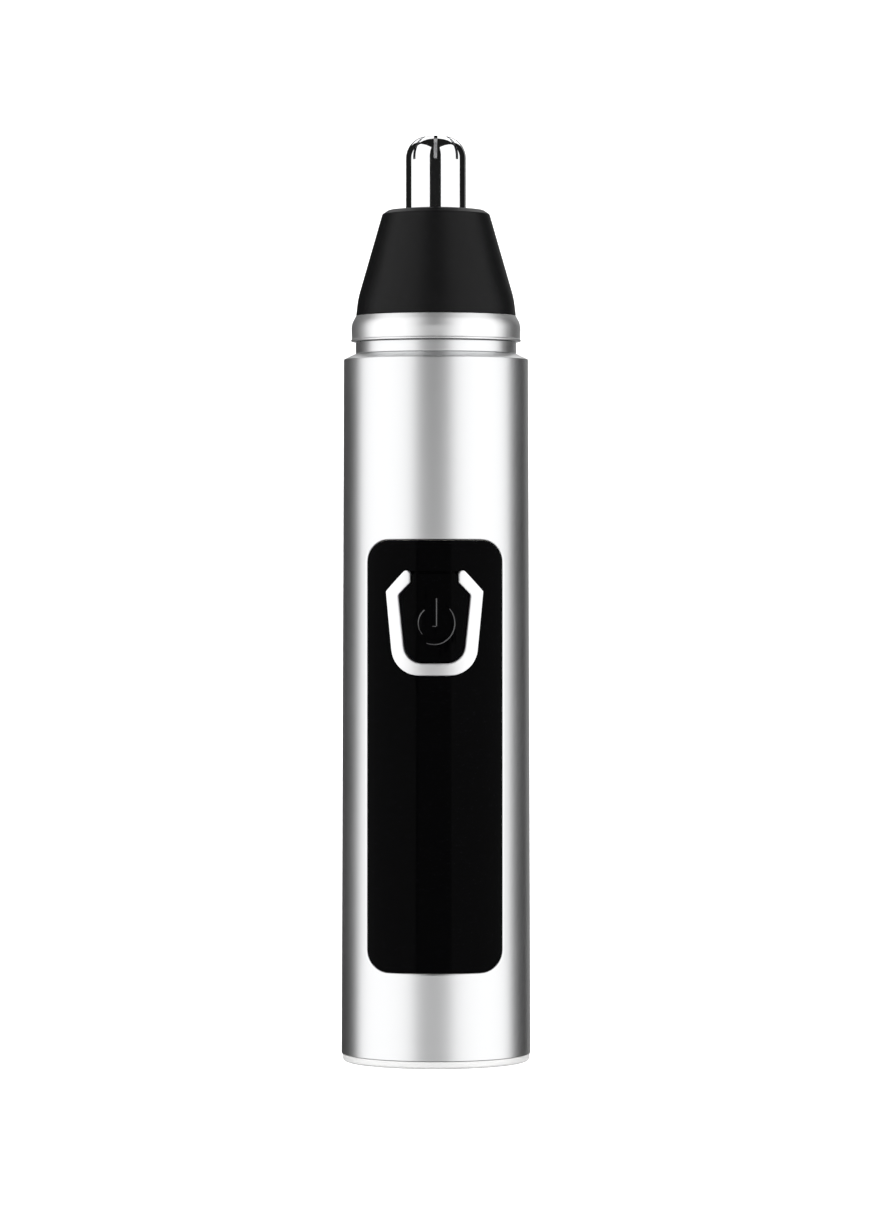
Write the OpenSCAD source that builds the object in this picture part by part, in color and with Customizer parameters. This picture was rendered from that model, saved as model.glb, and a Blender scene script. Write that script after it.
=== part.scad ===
// Nose hair trimmer: a slim metal tube that stands on its base, with a pull-off
// cutting head at the top, a push button in a gloss front panel, and a motor,
// a cell and a circuit board inside.
// Z is up along the tube's axis, the origin is the middle of the base, and the
// panel faces -Y. All lengths are millimetres.

/* [Body tube] */
// Outer radius of the tube at its lower end
tube_r_base = 13.5; // [13.4:0.05:13.8]
// Outer radius of the tube just below its shoulder
tube_r_top = 13.14; // [13.05:0.01:13.3]
// Radius of the straight bore inside the tube
tube_bore_r = 12.2; // [12.15:0.01:12.3]
// Height of the top of the tube's shoulder
tube_top_z = 100.8; // [100.8:0.2:104]
// Visible height of the base cap's rim below the tube
base_rim_h = 1.1; // [0.9:0.05:1.4]

/* [Cutting head] */
// Outer radius of the slotted steel cutter
cutter_r = 4.29; // [4.25:0.01:4.4]
// Height of the cutter's tip above the neck's flange
cutter_reach = 29.4; // [28.8:0.1:29.4]
// Number of hair slots round the cutter
slot_count = 8; // [6:2:10]
// Width of one hair slot
slot_w = 0.5; // [0.4:0.05:0.6]
// Outer radius of the bright ring round the head's foot
ring_r = 12.12; // [12:0.02:12.4]

/* [Front panel] */
// Width of the panel's window, measured straight across
panel_w = 19.2; // [18.6:0.1:19.4]
// Height of the panel's window
panel_h = 60.9; // [60.6:0.1:61.2]
// Height of the window's lower edge
panel_z = 13.4; // [13.2:0.1:13.8]
// Corner radius of the window
panel_corner_r = 3.1; // [2:0.1:4]

/* [Power button] */
// Height of the button's middle
button_z = 62.6; // [62.4:0.1:62.8]
// Travel of the button
button_travel = 0.3; // [0.2:0.05:0.35]
// Depth of the engraved power symbol
symbol_depth = 0.12; // [0.08:0.02:0.16]

/* [Power pack] */
// Radius of the rechargeable cell
cell_r = 7; // [6.9:0.05:7]
// Length of the cell
cell_l = 49; // [48:0.5:49.5]
// Radius of the motor's round sides
motor_r = 10.2; // [10:0.1:10.2]
// Distance between the motor's two flat sides
motor_flat_w = 15.4; // [15:0.1:15.4]
// Length of the motor's can
motor_l = 25; // [24:0.5:25]

/* [Hidden] */
// Clearances between neighbours
gap = 0.04;
run_gap = 0.1;
// Cut depth past a face, so that a hole goes cleanly through
cut = 1;

// Tube
shoulder_drop = 0.75;
shoulder_t = 1.6;
neck_hole_r = 10.9;
rebate_w = 0.22;
rebate_t = 0.12;
shoulder_r = 11.6;

// Base cap
rim_top_z = base_rim_h - 0.05;
// Radius and height of each corner of the rim, from its foot up
rim_profile = [[12.85, 0], [13.1, 0.12], [13.3, 0.4], [13.38, rim_top_z]];
base_floor_z = base_rim_h + 0.5;
base_plug_r = tube_bore_r - 0.06;
base_plug_wall = 1.34;
plug_clear = 0.2;

// Inner frame: two half shells that fill the bore
frame_r = 12;
frame_in_r = 10.5;
frame_z = 6;
split_gap = 0.03;
boss_w = 4;
collar_boss_h = 8;
motor_rib_w = 14;
motor_rib_t = 1.5;
motor_rib_z = [3, 12];
saddle_t = 1.6;
saddle_z = [20, 36, 52];
saddle_front_y = 1.2;
base_boss_r = 1.8;
base_boss_top_z = 11.6;

// Stack above the shoulder
flange_r = 11.45;
flange_t = 1.7;
flange_top_z = tube_top_z + flange_t;
spigot_r = 8;
spigot_h = 5.8;
collar_bore_r = 5.4;
o_ring_wire = 0.9;
o_ring_z = flange_top_z + 3.1;

// Stack below the shoulder
mount_top_z = tube_top_z - shoulder_t - gap;
mount_t = 4.1;
mount_z = mount_top_z - mount_t;
motor_top_z = mount_z - 0.5;
motor_z = motor_top_z - motor_l;
collar_screw_y = 9.7;
screw_r = 0.8;
screw_hole_r = 0.84;
recess_w = 0.3;
recess_depth = 0.4;

// Head
head_z = flange_top_z + run_gap;
socket_r = spigot_r + 0.05;
socket_h = 6.2;
seat_r = 10.9;
ring_h = 3.7;
cone_foot_r = 11.4;
cone_z = head_z + ring_h;
cone_h = 15.2;
cone_top_r = 7.4;
cone_top_z = cone_z + cone_h;
cavity_r = 7.7;
// Radius below ring_r, and height, of each corner of the ring's outside
ring_profile = [
    [0.15, 0], [0, 0.2], [0, 1.7], [0.1, 2.3], [0.32, 2.9], [0.58, 3.35]
];
// Radius below cone_foot_r, and height, of the curve at the cone's foot
cone_foot_profile = [[0, 0], [0.25, 2.2], [0.55, 3.4]];
// Radius beside cone_top_r, and depth, of the curve at the cone's top
cone_top_profile = [[0.55, 1.6], [0.3, 0.8], [-0.15, 0.2], [-0.7, 0]];
cone_crown_h = 0.2;
cavity_top_z = cone_z + 7.3;
retainer_r = 6.2;
retainer_top_z = cone_z + 11.8;

// Cutter and blade
cutter_top_z = flange_top_z + cutter_reach;
cutter_wall = 0.34;
cutter_foot_z = retainer_top_z - 1.6;
dome_r = 3.15;
slot_z = cutter_top_z - 3.5;
slot_start_r = 1.2;
blade_gap = 0.1;
blade_t = 0.5;
blade_z = cutter_top_z - 11;
blade_hub_r = 1.9;
blade_hub_h = 6.5;
blade_foot_h = 2;
blade_turns = [0, 90];
cutter_foot_r = cutter_r + 1.2;
cutter_foot_t = 0.6;
dome_steps = 7;

// Drive
shaft_r = 1;
shaft_z = motor_z - 0.9;
shaft_top_z = flange_top_z - 1;
coupling_r = 2.7;
coupling_z = mount_top_z - 2.2;
coupling_top_z = flange_top_z + 2;
spindle_r = 1.28;
spindle_side = 2.3;
spindle_z = shaft_top_z + 0.5;
spindle_collar_z = coupling_top_z + 6.6;
spindle_top_z = blade_z + 6;
spindle_collar_r = 2.6;
spindle_collar_t = 1;
socket_clear = 0.05;
spring_wire_r = 0.22;
spring_r = 1.95;
spring_turns = 6;

// Front panel and button
trim_proud = 0.12;
trim_depth = 0.7;
panel_back_r = frame_r + 2 * gap;
button_gap = 0.12;
flange_margin = 0.7;
button_flange_t = 0.55;
flange_clear = 0.12;
stem_r = 1.6;
stem_clear = 0.06;
button_sink = 0.1;
// Half width of the button at its widest
button_half_w = 5.05;
symbol_bar_low = -0.5;
symbol_bar_high = 3.6;
symbol_steps = 28;
// How far the trim's cutters reach above and below the button's middle
button_reach = 12;
symbol_r = 2.66;
symbol_line_w = 0.78;
symbol_opening = 32;

// Circuit board and switch
board_w = 15;
board_t = 1;
board_y = -7;
board_z = 2.6;
board_top_z = motor_z - 2;
switch_side = 6;
switch_h = 3.4;
plunger_r = 1.75;
plunger_out = 0.8;
plunger_in = 0.9;
plunger_tip_y = board_y - switch_h - plunger_out;
post_z = [24, 48];
post_x = 5.6;
post_h = 3.1;
post_r = 1.5;
// X, height, width, length and thickness of each part on the board
chips = [
    [-2, 14, 4, 5, 1.1], [3, 17, 3, 3, 1.2],
    [-3, 31, 5, 4, 1.4], [2.6, 34, 2.9, 2.9, 1.2]
];
// Four small resistors in a row
chip_row_x = -3.6;
chip_row_z = 41;
chip_row_step = 2;
small_chip = [1, 0.6, 0.5];

// Motor insides
can_wall = 0.8;
boss_r = 3.1;
boss_h = 1.6;
bushing_r = 2.2;
bell_t = 2.2;
armature_r = 6.6;
armature_z = motor_z + 8;
armature_l = 11;
hub_r = 3;
pole_neck_w = 2.2;
pole_t = 1;
winding_t = 1.1;
magnet_half_angle = 32;
commutator_r = 2.5;
commutator_z = motor_z + 3.2;
commutator_l = 3.4;
commutator_slot = 0.4;
shoe_half_angle = 52;
end_play = 0.3;
damper_r = 7.4;
tab_x = 5.75;
tab_t = 0.5;
brush_x = 2.75;
brush_w = 2.4;
brush_z = motor_z + 3.6;

// Cell and charging inlet
cell_y = 3.3;
cell_z = 12.2;
cell_top_z = cell_z + cell_l;
cell_wrap_edge = 0.5;
cell_cap_r = 2.6;
cell_tab = [4, 9, 0.2];
foam_w = 9;
foam_z = 27;
foam_h = 18;
inlet_w = 8.94;
inlet_t = 3.26;
inlet_h = 7.3;
inlet_z = 0.35;
inlet_y = board_y + board_t + inlet_t / 2 + 0.05;
base_screw_x = 8.8;
base_screw_y = 1.5;
inlet_wall = 0.3;
tongue_w = 6.6;
tongue_t = 0.7;

// Wires
wire_r = 0.45;
wire_y = board_y + board_t + 0.5;

// ---------- Shared geometry ----------

// Outer radius of the tapered tube at height z
function tube_r(z) = tube_r_base + (tube_r_top - tube_r_base)
    * (z - base_rim_h) / (tube_top_z - shoulder_drop - base_rim_h);

// Points of an arc that rounds the corner p between its neighbours a and b
function corner(a, p, b, r, n = 6) = let(
    here = [p[0], p[1]],
    u = [a[0] - p[0], a[1] - p[1]] / norm([a[0] - p[0], a[1] - p[1]]),
    v = [b[0] - p[0], b[1] - p[1]] / norm([b[0] - p[0], b[1] - p[1]]),
    half = acos(u * v) / 2,
    centre = here + (u + v) / norm(u + v) * r / sin(half),
    first = here + u * r / tan(half) - centre,
    last = here + v * r / tan(half) - centre,
    from = atan2(first[1], first[0]),
    swing = atan2(last[1], last[0]) - from,
    turn = swing > 180 ? swing - 360 : swing < -180 ? swing + 360 : swing
) [for (i = [0:n]) centre + r * [cos(from + turn * i / n), sin(from + turn * i / n)]];

// An outline of [x, y, radius] corners with each corner rounded
function rounded(pts) = [
    for (i = [0:len(pts) - 1])
        let(a = pts[(i + len(pts) - 1) % len(pts)], p = pts[i], b = pts[(i + 1) % len(pts)])
        each (p[2] > 0 ? corner(a, p, b, p[2]) : [[p[0], p[1]]])
];

// The corners of one half followed by its mirror image
function both_sides(half) = concat(
    half, [for (i = [len(half) - 1:-1:0]) [-half[i][0], half[i][1], half[i][2]]]
);

function rectangle(w, h, r, z) = [
    [w / 2, z, r], [w / 2, z + h, r], [-w / 2, z + h, r], [-w / 2, z, r]
];

// Extrudes an outline drawn in X and Z through the front of the tube
module through_front(pts, depth = 20) {
    rotate([90, 0, 0])
        linear_extrude(depth)
            polygon(rounded(pts));
}

// A tapered wall that follows the tube's outside, between two heights
module tapered_wall(in_r, proud, low_z, high_z) {
    rotate_extrude()
        polygon([
            [in_r, low_z],
            [tube_r(low_z) + proud, low_z],
            [tube_r(high_z) + proud, high_z],
            [in_r, high_z]
        ]);
}

module ring(outer_r, inner_r, low_z, high_z) {
    translate([0, 0, low_z])
        difference() {
            cylinder(r = outer_r, h = high_z - low_z);
            translate([0, 0, -cut])
                cylinder(r = inner_r, h = high_z - low_z + 2 * cut);
        }
}

module disc(r, low_z, high_z) {
    translate([0, 0, low_z])
        cylinder(r = r, h = high_z - low_z);
}

// The front (side = -1) or the rear (side = 1) half of space
module half_space(side, start) {
    translate([-20, side > 0 ? start : -20 - start, -cut])
        cube([40, 20, 140]);
}

// The same shape at both collar screws
module at_collar_screws() {
    for (side = [-1, 1])
        translate([0, side * collar_screw_y, 0])
            children();
}

module at_base_screws() {
    for (side = [-1, 1])
        translate([side * base_screw_x, base_screw_y, 0])
            children();
}

// A pan-head screw that points down from z = 0, with a cross recess
module screw(head_r, head_h, length) {
    difference() {
        union() {
            cylinder(r = head_r, h = head_h);
            translate([0, 0, -length])
                cylinder(r = screw_r, h = length + head_h / 2);
        }
        for (turn = [0, 90])
            rotate([0, 0, turn])
                translate([-head_r * 0.62, -recess_w / 2, head_h - recess_depth])
                    cube([head_r * 1.24, recess_w, cut]);
    }
}

// ---------- Outline of the trim and the button, in X and Z from the button's middle ----------

trim_half = [
    [5.75, -7.4, 4],
    [6.86, 4.5, 0.35],
    [3.95, 7.75, 0.6],
    [3.37, 7.1, 0.5],
    [3.37, 5.7, 0.3],
    [button_half_w, 3.95, 0.5],
    [4.05, -5.6, 2.6]
];

// The shield-shaped button, drawn in from its opening by an amount
function button_outline(inset) = [
    [4.05 - inset, -5.6 + inset, 2.6 - inset],
    [button_half_w - inset, 3.95, 0.5],
    [3.37 - inset, 5.7, 0.3],
    [3.37 - inset, 7.25 - inset, 0.8]
];

function at_button(pts) = [for (p = pts) [p[0], p[1] + button_z, p[2]]];

// ---------- Body ----------

module body_tube() {
    color("silver")
        difference() {
            rotate_extrude()
                polygon([
                    [tube_bore_r, base_rim_h],
                    [tube_r_base, base_rim_h],
                    [tube_r_top, tube_top_z - shoulder_drop],
                    [shoulder_r, tube_top_z],
                    [neck_hole_r, tube_top_z],
                    [neck_hole_r, tube_top_z - shoulder_t],
                    [tube_bore_r, tube_top_z - shoulder_t]
                ]);
            through_front(rectangle(panel_w, panel_h, panel_corner_r, panel_z));
            difference() {
                through_front(rectangle(
                    panel_w + 2 * rebate_w, panel_h + 2 * rebate_w,
                    panel_corner_r + rebate_w, panel_z - rebate_w
                ));
                tapered_wall(0, -rebate_t, 0.5 * panel_z, tube_top_z - 5);
            }
        }
}

module base_cap() {
    plug_w = inlet_w + 2 * plug_clear;
    plug_t = inlet_t + 2 * plug_clear;
    color("gainsboro")
        difference() {
            union() {
                rotate_extrude()
                    polygon(concat([[0, 0]], rim_profile, [[0, rim_top_z]]));
                disc(base_plug_r, base_rim_h - 0.3, frame_z - 0.15);
            }
            disc(base_plug_r - base_plug_wall, base_floor_z, frame_z + cut);
            translate([0, 0, -cut])
                linear_extrude(frame_z)
                    polygon(rounded([
                        [-plug_w / 2, inlet_y - plug_t / 2, 1.4],
                        [plug_w / 2, inlet_y - plug_t / 2, 1.4],
                        [plug_w / 2, inlet_y + plug_t / 2, 1.4],
                        [-plug_w / 2, inlet_y + plug_t / 2, 1.4]
                    ]));
            at_base_screws()
                translate([0, 0, -cut]) {
                    cylinder(r = screw_hole_r + 0.06, h = frame_z);
                    cylinder(r = 1.55, h = cut + 0.85);
                }
        }
}

module base_screws() {
    color("dimgray")
        at_base_screws()
            translate([0, 0, 0.8])
                rotate([180, 0, 0])
                    screw(1.45, 0.7, 6.5);
}

module front_panel() {
    color("black")
        difference() {
            intersection() {
                tapered_wall(panel_back_r, -0.03, panel_z - 2, panel_z + panel_h + 2);
                through_front(rectangle(
                    panel_w - 2 * gap, panel_h - 2 * gap, panel_corner_r - gap, panel_z + gap
                ));
            }
            through_front(at_button(both_sides(button_outline(0))));
            intersection() {
                through_front(at_button(both_sides(trim_half)));
                tapered_wall(
                    tube_r(button_z) - trim_depth - gap, 2,
                    button_z - button_reach, button_z + button_reach
                );
            }
        }
}

module u_trim() {
    color("whitesmoke")
        intersection() {
            through_front(at_button(both_sides(trim_half)));
            tapered_wall(
                tube_r(button_z) - trim_depth, trim_proud,
                button_z - button_reach, button_z + button_reach
            );
        }
}

module power_symbol() {
    ends = 90 - symbol_opening;
    inner_r = symbol_r - symbol_line_w / 2;
    outer_r = symbol_r + symbol_line_w / 2;
    steps = symbol_steps;
    sweep = 360 - 2 * symbol_opening;
    outline = concat(
        [for (i = [0:steps]) let(a = ends - sweep * i / steps) outer_r * [cos(a), sin(a)]],
        [for (i = [steps:-1:0]) let(a = ends - sweep * i / steps) inner_r * [cos(a), sin(a)]]
    );
    translate([0, 0, button_z])
        rotate([90, 0, 0])
            linear_extrude(20) {
                polygon(outline);
                translate([-symbol_line_w / 2, symbol_bar_low])
                    square([symbol_line_w, symbol_bar_high - symbol_bar_low]);
            }
}

module power_button() {
    flange_r = panel_back_r - flange_clear;
    color("black") {
        difference() {
            union() {
                intersection() {
                    through_front(at_button(both_sides(button_outline(button_gap))));
                    tapered_wall(
                        flange_r - button_flange_t, -button_sink,
                        button_z - button_reach, button_z + button_reach
                    );
                }
                intersection() {
                    through_front(rectangle(
                        2 * (button_half_w + flange_margin), 14.4, 1.5, button_z - 6.5
                    ));
                    ring(
                        flange_r, flange_r - button_flange_t,
                        button_z - button_reach, button_z + button_reach
                    );
                }
                translate([0, plunger_tip_y - stem_clear, button_z])
                    rotate([90, 0, 0])
                        cylinder(r = stem_r, h = flange_r - 0.2 + plunger_tip_y + stem_clear);
            }
            difference() {
                power_symbol();
                tapered_wall(0, -button_sink - symbol_depth, button_z - 14, button_z + 14);
            }
        }
    }
}

// ---------- Neck ----------

module neck_collar() {
    color("silver")
        difference() {
            union() {
                disc(flange_r, tube_top_z + gap, flange_top_z);
                disc(neck_hole_r - gap, mount_top_z + gap, tube_top_z + 0.5);
                disc(spigot_r, flange_top_z - 0.5, flange_top_z + spigot_h);
            }
            disc(collar_bore_r, mount_top_z - cut, flange_top_z + spigot_h + cut);
            ring(spigot_r + cut, spigot_r - o_ring_wire - gap, o_ring_z - 0.5, o_ring_z + 0.5);
            at_collar_screws() {
                disc(screw_hole_r, mount_top_z - cut, flange_top_z + cut);
                disc(1.45, flange_top_z - 1, flange_top_z + cut);
            }
        }
}

module collar_screws() {
    color("dimgray")
        at_collar_screws()
            translate([0, 0, flange_top_z - 0.95])
                screw(1.35, 0.85, 9.5);
}

module neck_o_ring() {
    color("black")
        rotate_extrude()
            translate([spigot_r - o_ring_wire / 2 + 0.02, o_ring_z])
                circle(r = o_ring_wire / 2);
}

// ---------- Head ----------

module head_cone() {
    color("#1c1c1c")
        difference() {
            rotate_extrude()
                polygon(concat(
                    [[0, head_z], [seat_r, head_z], [seat_r, cone_z]],
                    [for (p = cone_foot_profile) [cone_foot_r - p[0], cone_z + p[1]]],
                    [for (p = cone_top_profile) [cone_top_r + p[0], cone_top_z - p[1]]],
                    [[0, cone_top_z + cone_crown_h]]
                ));
            disc(socket_r, head_z - cut, head_z + socket_h);
            disc(cavity_r, head_z, cavity_top_z);
            disc(retainer_r, head_z, retainer_top_z);
            disc(cutter_r + gap, head_z, cone_top_z + cut);
        }
}

module head_ring() {
    color("white")
        rotate_extrude()
            polygon(concat(
                [[seat_r + gap, head_z]],
                [for (p = ring_profile) [ring_r - p[0], head_z + p[1]]],
                [[cone_foot_r, cone_z - gap], [seat_r + gap, cone_z - gap]]
            ));
}

// The cutter's dome: a tube with a rounded shoulder and a small flat top
module domed(r, shoulder, low_z, high_z) {
    rotate_extrude()
        polygon(concat(
            [[0, low_z], [r, low_z]],
            [for (i = [0:dome_steps]) let(a = 90 * i / dome_steps)
                [r - shoulder + shoulder * cos(a), high_z - shoulder + shoulder * sin(a)]],
            [[0, high_z]]
        ));
}

module outer_cutter() {
    color("whitesmoke")
        difference() {
            union() {
                domed(cutter_r, dome_r, cutter_foot_z, cutter_top_z);
                disc(cutter_foot_r, cutter_foot_z, cutter_foot_z + cutter_foot_t);
            }
            domed(
                cutter_r - cutter_wall, dome_r - cutter_wall,
                cutter_foot_z - cut, cutter_top_z - cutter_wall
            );
            for (i = [0:slot_count - 1])
                rotate([0, 0, i * 360 / slot_count - 90])
                    translate([slot_start_r, -slot_w / 2, slot_z])
                        cube([cutter_r, slot_w, cutter_top_z]);
        }
}

module cutter_retainer() {
    color("gray")
        difference() {
            disc(retainer_r - gap, cavity_top_z - 1, retainer_top_z - gap);
            disc(cutter_foot_r + gap, cutter_foot_z - gap, retainer_top_z + cut);
            disc(cutter_r + 0.1, cavity_top_z - 2, retainer_top_z + cut);
        }
}

// ---------- Rotor: blade, spindle, spring and coupling ----------

module inner_cutter() {
    blade_r = cutter_r - cutter_wall - blade_gap;
    color("lightgray")
        difference() {
            intersection() {
                domed(
                    blade_r, dome_r - cutter_wall - blade_gap,
                    blade_z, cutter_top_z - cutter_wall - blade_gap
                );
                union() {
                    disc(blade_hub_r, blade_z - cut, blade_z + blade_hub_h);
                    for (turn = blade_turns)
                        rotate([0, 0, turn])
                            translate([-cutter_r, -blade_t / 2, blade_z + blade_foot_h])
                                cube([2 * cutter_r, blade_t, 20]);
                }
            }
            disc(spindle_r + 0.02, blade_z - cut, spindle_top_z + 0.02);
        }
}

module blade_spindle() {
    color("dimgray")
        union() {
            translate([-spindle_side / 2, -spindle_side / 2, spindle_z])
                cube([spindle_side, spindle_side, spindle_collar_z - spindle_z + 0.5]);
            disc(spindle_collar_r, spindle_collar_z, spindle_collar_z + spindle_collar_t);
            disc(spindle_r, spindle_collar_z + 0.5, spindle_top_z);
        }
}

// A round wire swept along a helix, as one closed surface
module blade_spring() {
    low_z = coupling_top_z + spring_wire_r + 0.03;
    high_z = spindle_collar_z - spring_wire_r - 0.03;
    steps = spring_turns * 14;
    sides = 8;
    pts = [
        for (i = [0:steps], j = [0:sides - 1])
            let(
                a = 360 * spring_turns * i / steps,
                b = 360 * j / sides,
                r = spring_r + spring_wire_r * cos(b)
            )
            [r * cos(a), r * sin(a), low_z + (high_z - low_z) * i / steps + spring_wire_r * sin(b)]
    ];
    color("silver")
        polyhedron(pts, tube_faces(steps, sides), convexity = 8);
}

// Faces of a closed tube made of rings of points, with both ends capped
function tube_faces(steps, sides) = concat(
    [[for (j = [0:sides - 1]) j]],
    [[for (j = [sides - 1:-1:0]) steps * sides + j]],
    [
        for (i = [0:steps - 1], j = [0:sides - 1])
            let(k = (j + 1) % sides)
            [i * sides + j, (i + 1) * sides + j, (i + 1) * sides + k, i * sides + k]
    ]
);

module drive_coupling() {
    socket_side = spindle_side + 2 * socket_clear;
    color("ivory")
        difference() {
            disc(coupling_r, coupling_z, coupling_top_z);
            disc(shaft_r + 0.02, coupling_z - cut, shaft_top_z + 0.1);
            translate([-socket_side / 2, -socket_side / 2, spindle_z - 0.3])
                cube([socket_side, socket_side, coupling_top_z]);
        }
}

// ---------- Motor ----------

// A cylinder with two flats, facing front and back
module flatted(r, flat_w, low_z, high_z) {
    intersection() {
        disc(r, low_z, high_z);
        translate([-r - cut, -flat_w / 2, low_z - cut])
            cube([2 * (r + cut), flat_w, high_z - low_z + 2 * cut]);
    }
}

module motor_can() {
    color("silver")
        difference() {
            union() {
                flatted(motor_r, motor_flat_w, motor_z, motor_top_z);
                disc(boss_r, motor_top_z - 0.2, motor_top_z + boss_h);
            }
            flatted(
                motor_r - can_wall, motor_flat_w - 2 * can_wall,
                motor_z - cut, motor_top_z - can_wall
            );
            disc(bushing_r + gap, motor_top_z - can_wall - cut, motor_top_z + boss_h - 0.4);
            disc(shaft_r + end_play, motor_top_z, motor_top_z + boss_h + cut);
        }
}

// A slice of a ring, centred on +X and spread by an angle to each side
module wedge(outer_r, inner_r, half_angle, low_z, high_z) {
    reach = 2 * outer_r;
    intersection() {
        ring(outer_r, inner_r, low_z, high_z);
        translate([0, 0, low_z - cut])
            linear_extrude(high_z - low_z + 2 * cut)
                polygon([
                    [0, 0],
                    [reach, -reach * tan(half_angle)],
                    [reach, reach * tan(half_angle)]
                ]);
    }
}

module motor_magnets() {
    color("#404040")
        for (side = [0, 180])
            rotate([0, 0, side])
                wedge(
                    motor_r - can_wall - gap, armature_r + 0.4, magnet_half_angle,
                    armature_z - 1, armature_z + armature_l + 1
                );
}

module motor_end_bell() {
    color("white")
        difference() {
            union() {
                flatted(
                    motor_r - can_wall - gap, motor_flat_w - 2 * (can_wall + gap),
                    motor_z + 0.1, motor_z + bell_t
                );
                disc(boss_r, motor_z - 1, motor_z + 1);
            }
            disc(bushing_r + gap, motor_z - 0.4, motor_z + 3);
            disc(shaft_r + end_play, motor_z - 2, motor_z + 1);
            for (side = [-1, 1])
                translate([side * (tab_x + tab_t / 2) - tab_t / 2 - 0.1, -brush_w / 2 - 0.1, motor_z - cut])
                    cube([tab_t + 0.2, brush_w + 0.2, 5]);
        }
}

module bushing(low_z, high_z) {
    color("goldenrod")
        ring(bushing_r, shaft_r + 0.03, low_z, high_z);
}

module front_bushing() {
    bushing(motor_top_z - can_wall, motor_top_z + boss_h - 0.45);
}

module rear_bushing() {
    bushing(motor_z - 0.35, motor_z + 2);
}

// Each brush is one strip of spring copper: a solder tab outside and a leaf
// inside that rests beside the commutator
module motor_brushes() {
    color("peru")
        for (side = [-1, 1])
            scale([side, 1, 1]) {
                translate([tab_x, -brush_w / 2, motor_z - 2.2])
                    cube([tab_t, brush_w, 6.2]);
                translate([brush_x, -brush_w / 2, brush_z])
                    cube([tab_x - brush_x + 0.2, brush_w, 0.4]);
                translate([brush_x, -brush_w / 2, brush_z])
                    cube([0.3, brush_w, brush_w]);
            }
}

module motor_shaft() {
    color("gainsboro")
        disc(shaft_r, shaft_z, shaft_top_z);
}

// A three-pole core: each pole is a neck with a curved shoe at its tip
module armature_core() {
    color("slategray")
        difference() {
            union() {
                disc(hub_r, armature_z, armature_z + armature_l);
                for (turn = [0, 120, 240])
                    rotate([0, 0, turn]) {
                        translate([0, -pole_neck_w / 2, armature_z])
                            cube([armature_r - pole_t / 2, pole_neck_w, armature_l]);
                        wedge(
                            armature_r, armature_r - pole_t, shoe_half_angle,
                            armature_z, armature_z + armature_l
                        );
                    }
            }
            disc(shaft_r + 0.02, armature_z - cut, armature_z + armature_l + cut);
        }
}

module armature_windings() {
    inner_x = hub_r + 0.3;
    outer_x = armature_r - pole_t - 0.5;
    coil_w = pole_neck_w + 2 * winding_t;
    color("chocolate")
        for (turn = [0, 120, 240])
            rotate([0, 0, turn])
                difference() {
                    translate([inner_x, -coil_w / 2, armature_z - winding_t])
                        cube([outer_x - inner_x, coil_w, armature_l + 2 * winding_t]);
                    translate([0, -pole_neck_w / 2 - gap, armature_z - gap])
                        cube([armature_r, pole_neck_w + 2 * gap, armature_l + 2 * gap]);
                }
}

module commutator() {
    color("orange")
        difference() {
            disc(commutator_r, commutator_z, commutator_z + commutator_l);
            disc(shaft_r + 0.02, commutator_z - cut, commutator_z + commutator_l + cut);
            for (turn = [0, 120, 240])
                rotate([0, 0, turn])
                    translate([commutator_r - commutator_slot, -0.15, commutator_z - cut])
                        cube([cut, 0.3, commutator_l + 2 * cut]);
        }
}

module motor_damper() {
    color("#303030")
        ring(damper_r, boss_r + run_gap, motor_top_z + gap, mount_z - gap);
}

module motor_mount() {
    color("gray")
        difference() {
            disc(frame_r - gap, mount_z, mount_top_z);
            disc(collar_bore_r - 0.3, mount_z + 2, mount_top_z + cut);
            disc(boss_r + 0.3, mount_z - cut, mount_top_z);
            at_collar_screws()
                disc(screw_hole_r, mount_z - cut, mount_top_z + cut);
        }
}

// ---------- Inner frame ----------

module frame_shell(side) {
    intersection() {
        ring(frame_r, frame_in_r, frame_z, mount_z - gap);
        half_space(side, split_gap);
    }
}

// A pillar on the frame's wall that takes a collar screw
module collar_boss(side) {
    intersection() {
        difference() {
            translate([
                -boss_w / 2, side > 0 ? motor_flat_w / 2 + run_gap : -frame_r,
                mount_z - collar_boss_h
            ])
                cube([boss_w, frame_r - motor_flat_w / 2 - run_gap, collar_boss_h - gap]);
            at_collar_screws()
                disc(screw_hole_r, mount_z - collar_boss_h - cut, mount_z + cut);
        }
        disc(frame_r, mount_z - collar_boss_h - cut, mount_z);
    }
}

// A rib that bears on one flat of the motor
module motor_rib(side, z) {
    intersection() {
        disc(frame_in_r + 0.5, z, z + motor_rib_t);
        translate([-motor_rib_w / 2, side > 0 ? motor_flat_w / 2 + gap : -frame_r, z])
            cube([motor_rib_w, frame_r - motor_flat_w / 2 - gap, motor_rib_t]);
    }
}

module frame_front() {
    color("#d8d4c8")
        difference() {
            union() {
                frame_shell(-1);
                collar_boss(-1);
                for (z = motor_rib_z)
                    motor_rib(-1, motor_z + z);
                intersection() {
                    for (side = [-1, 1], z = post_z)
                        translate([side * post_x, board_y - 0.05, z])
                            rotate([90, 0, 0])
                                cylinder(r = post_r, h = post_h);
                    disc(frame_r, frame_z, board_top_z);
                }
            }
            for (side = [-1, 1], z = post_z)
                translate([side * post_x, board_y + cut, z])
                    rotate([90, 0, 0])
                        cylinder(r = screw_hole_r, h = post_h - 0.3 + cut);
            through_front(rectangle(
                2 * (button_half_w + flange_margin + 0.4), 15.2, 1.9, button_z - 6.9
            ));
        }
}

// A rib with a round saddle that holds the cell
module cell_saddle(z) {
    difference() {
        intersection() {
            disc(frame_in_r + 0.5, z, z + saddle_t);
            half_space(1, saddle_front_y);
        }
        translate([0, cell_y, z - cut])
            cylinder(r = cell_r + 0.05, h = 4);
    }
}

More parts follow.
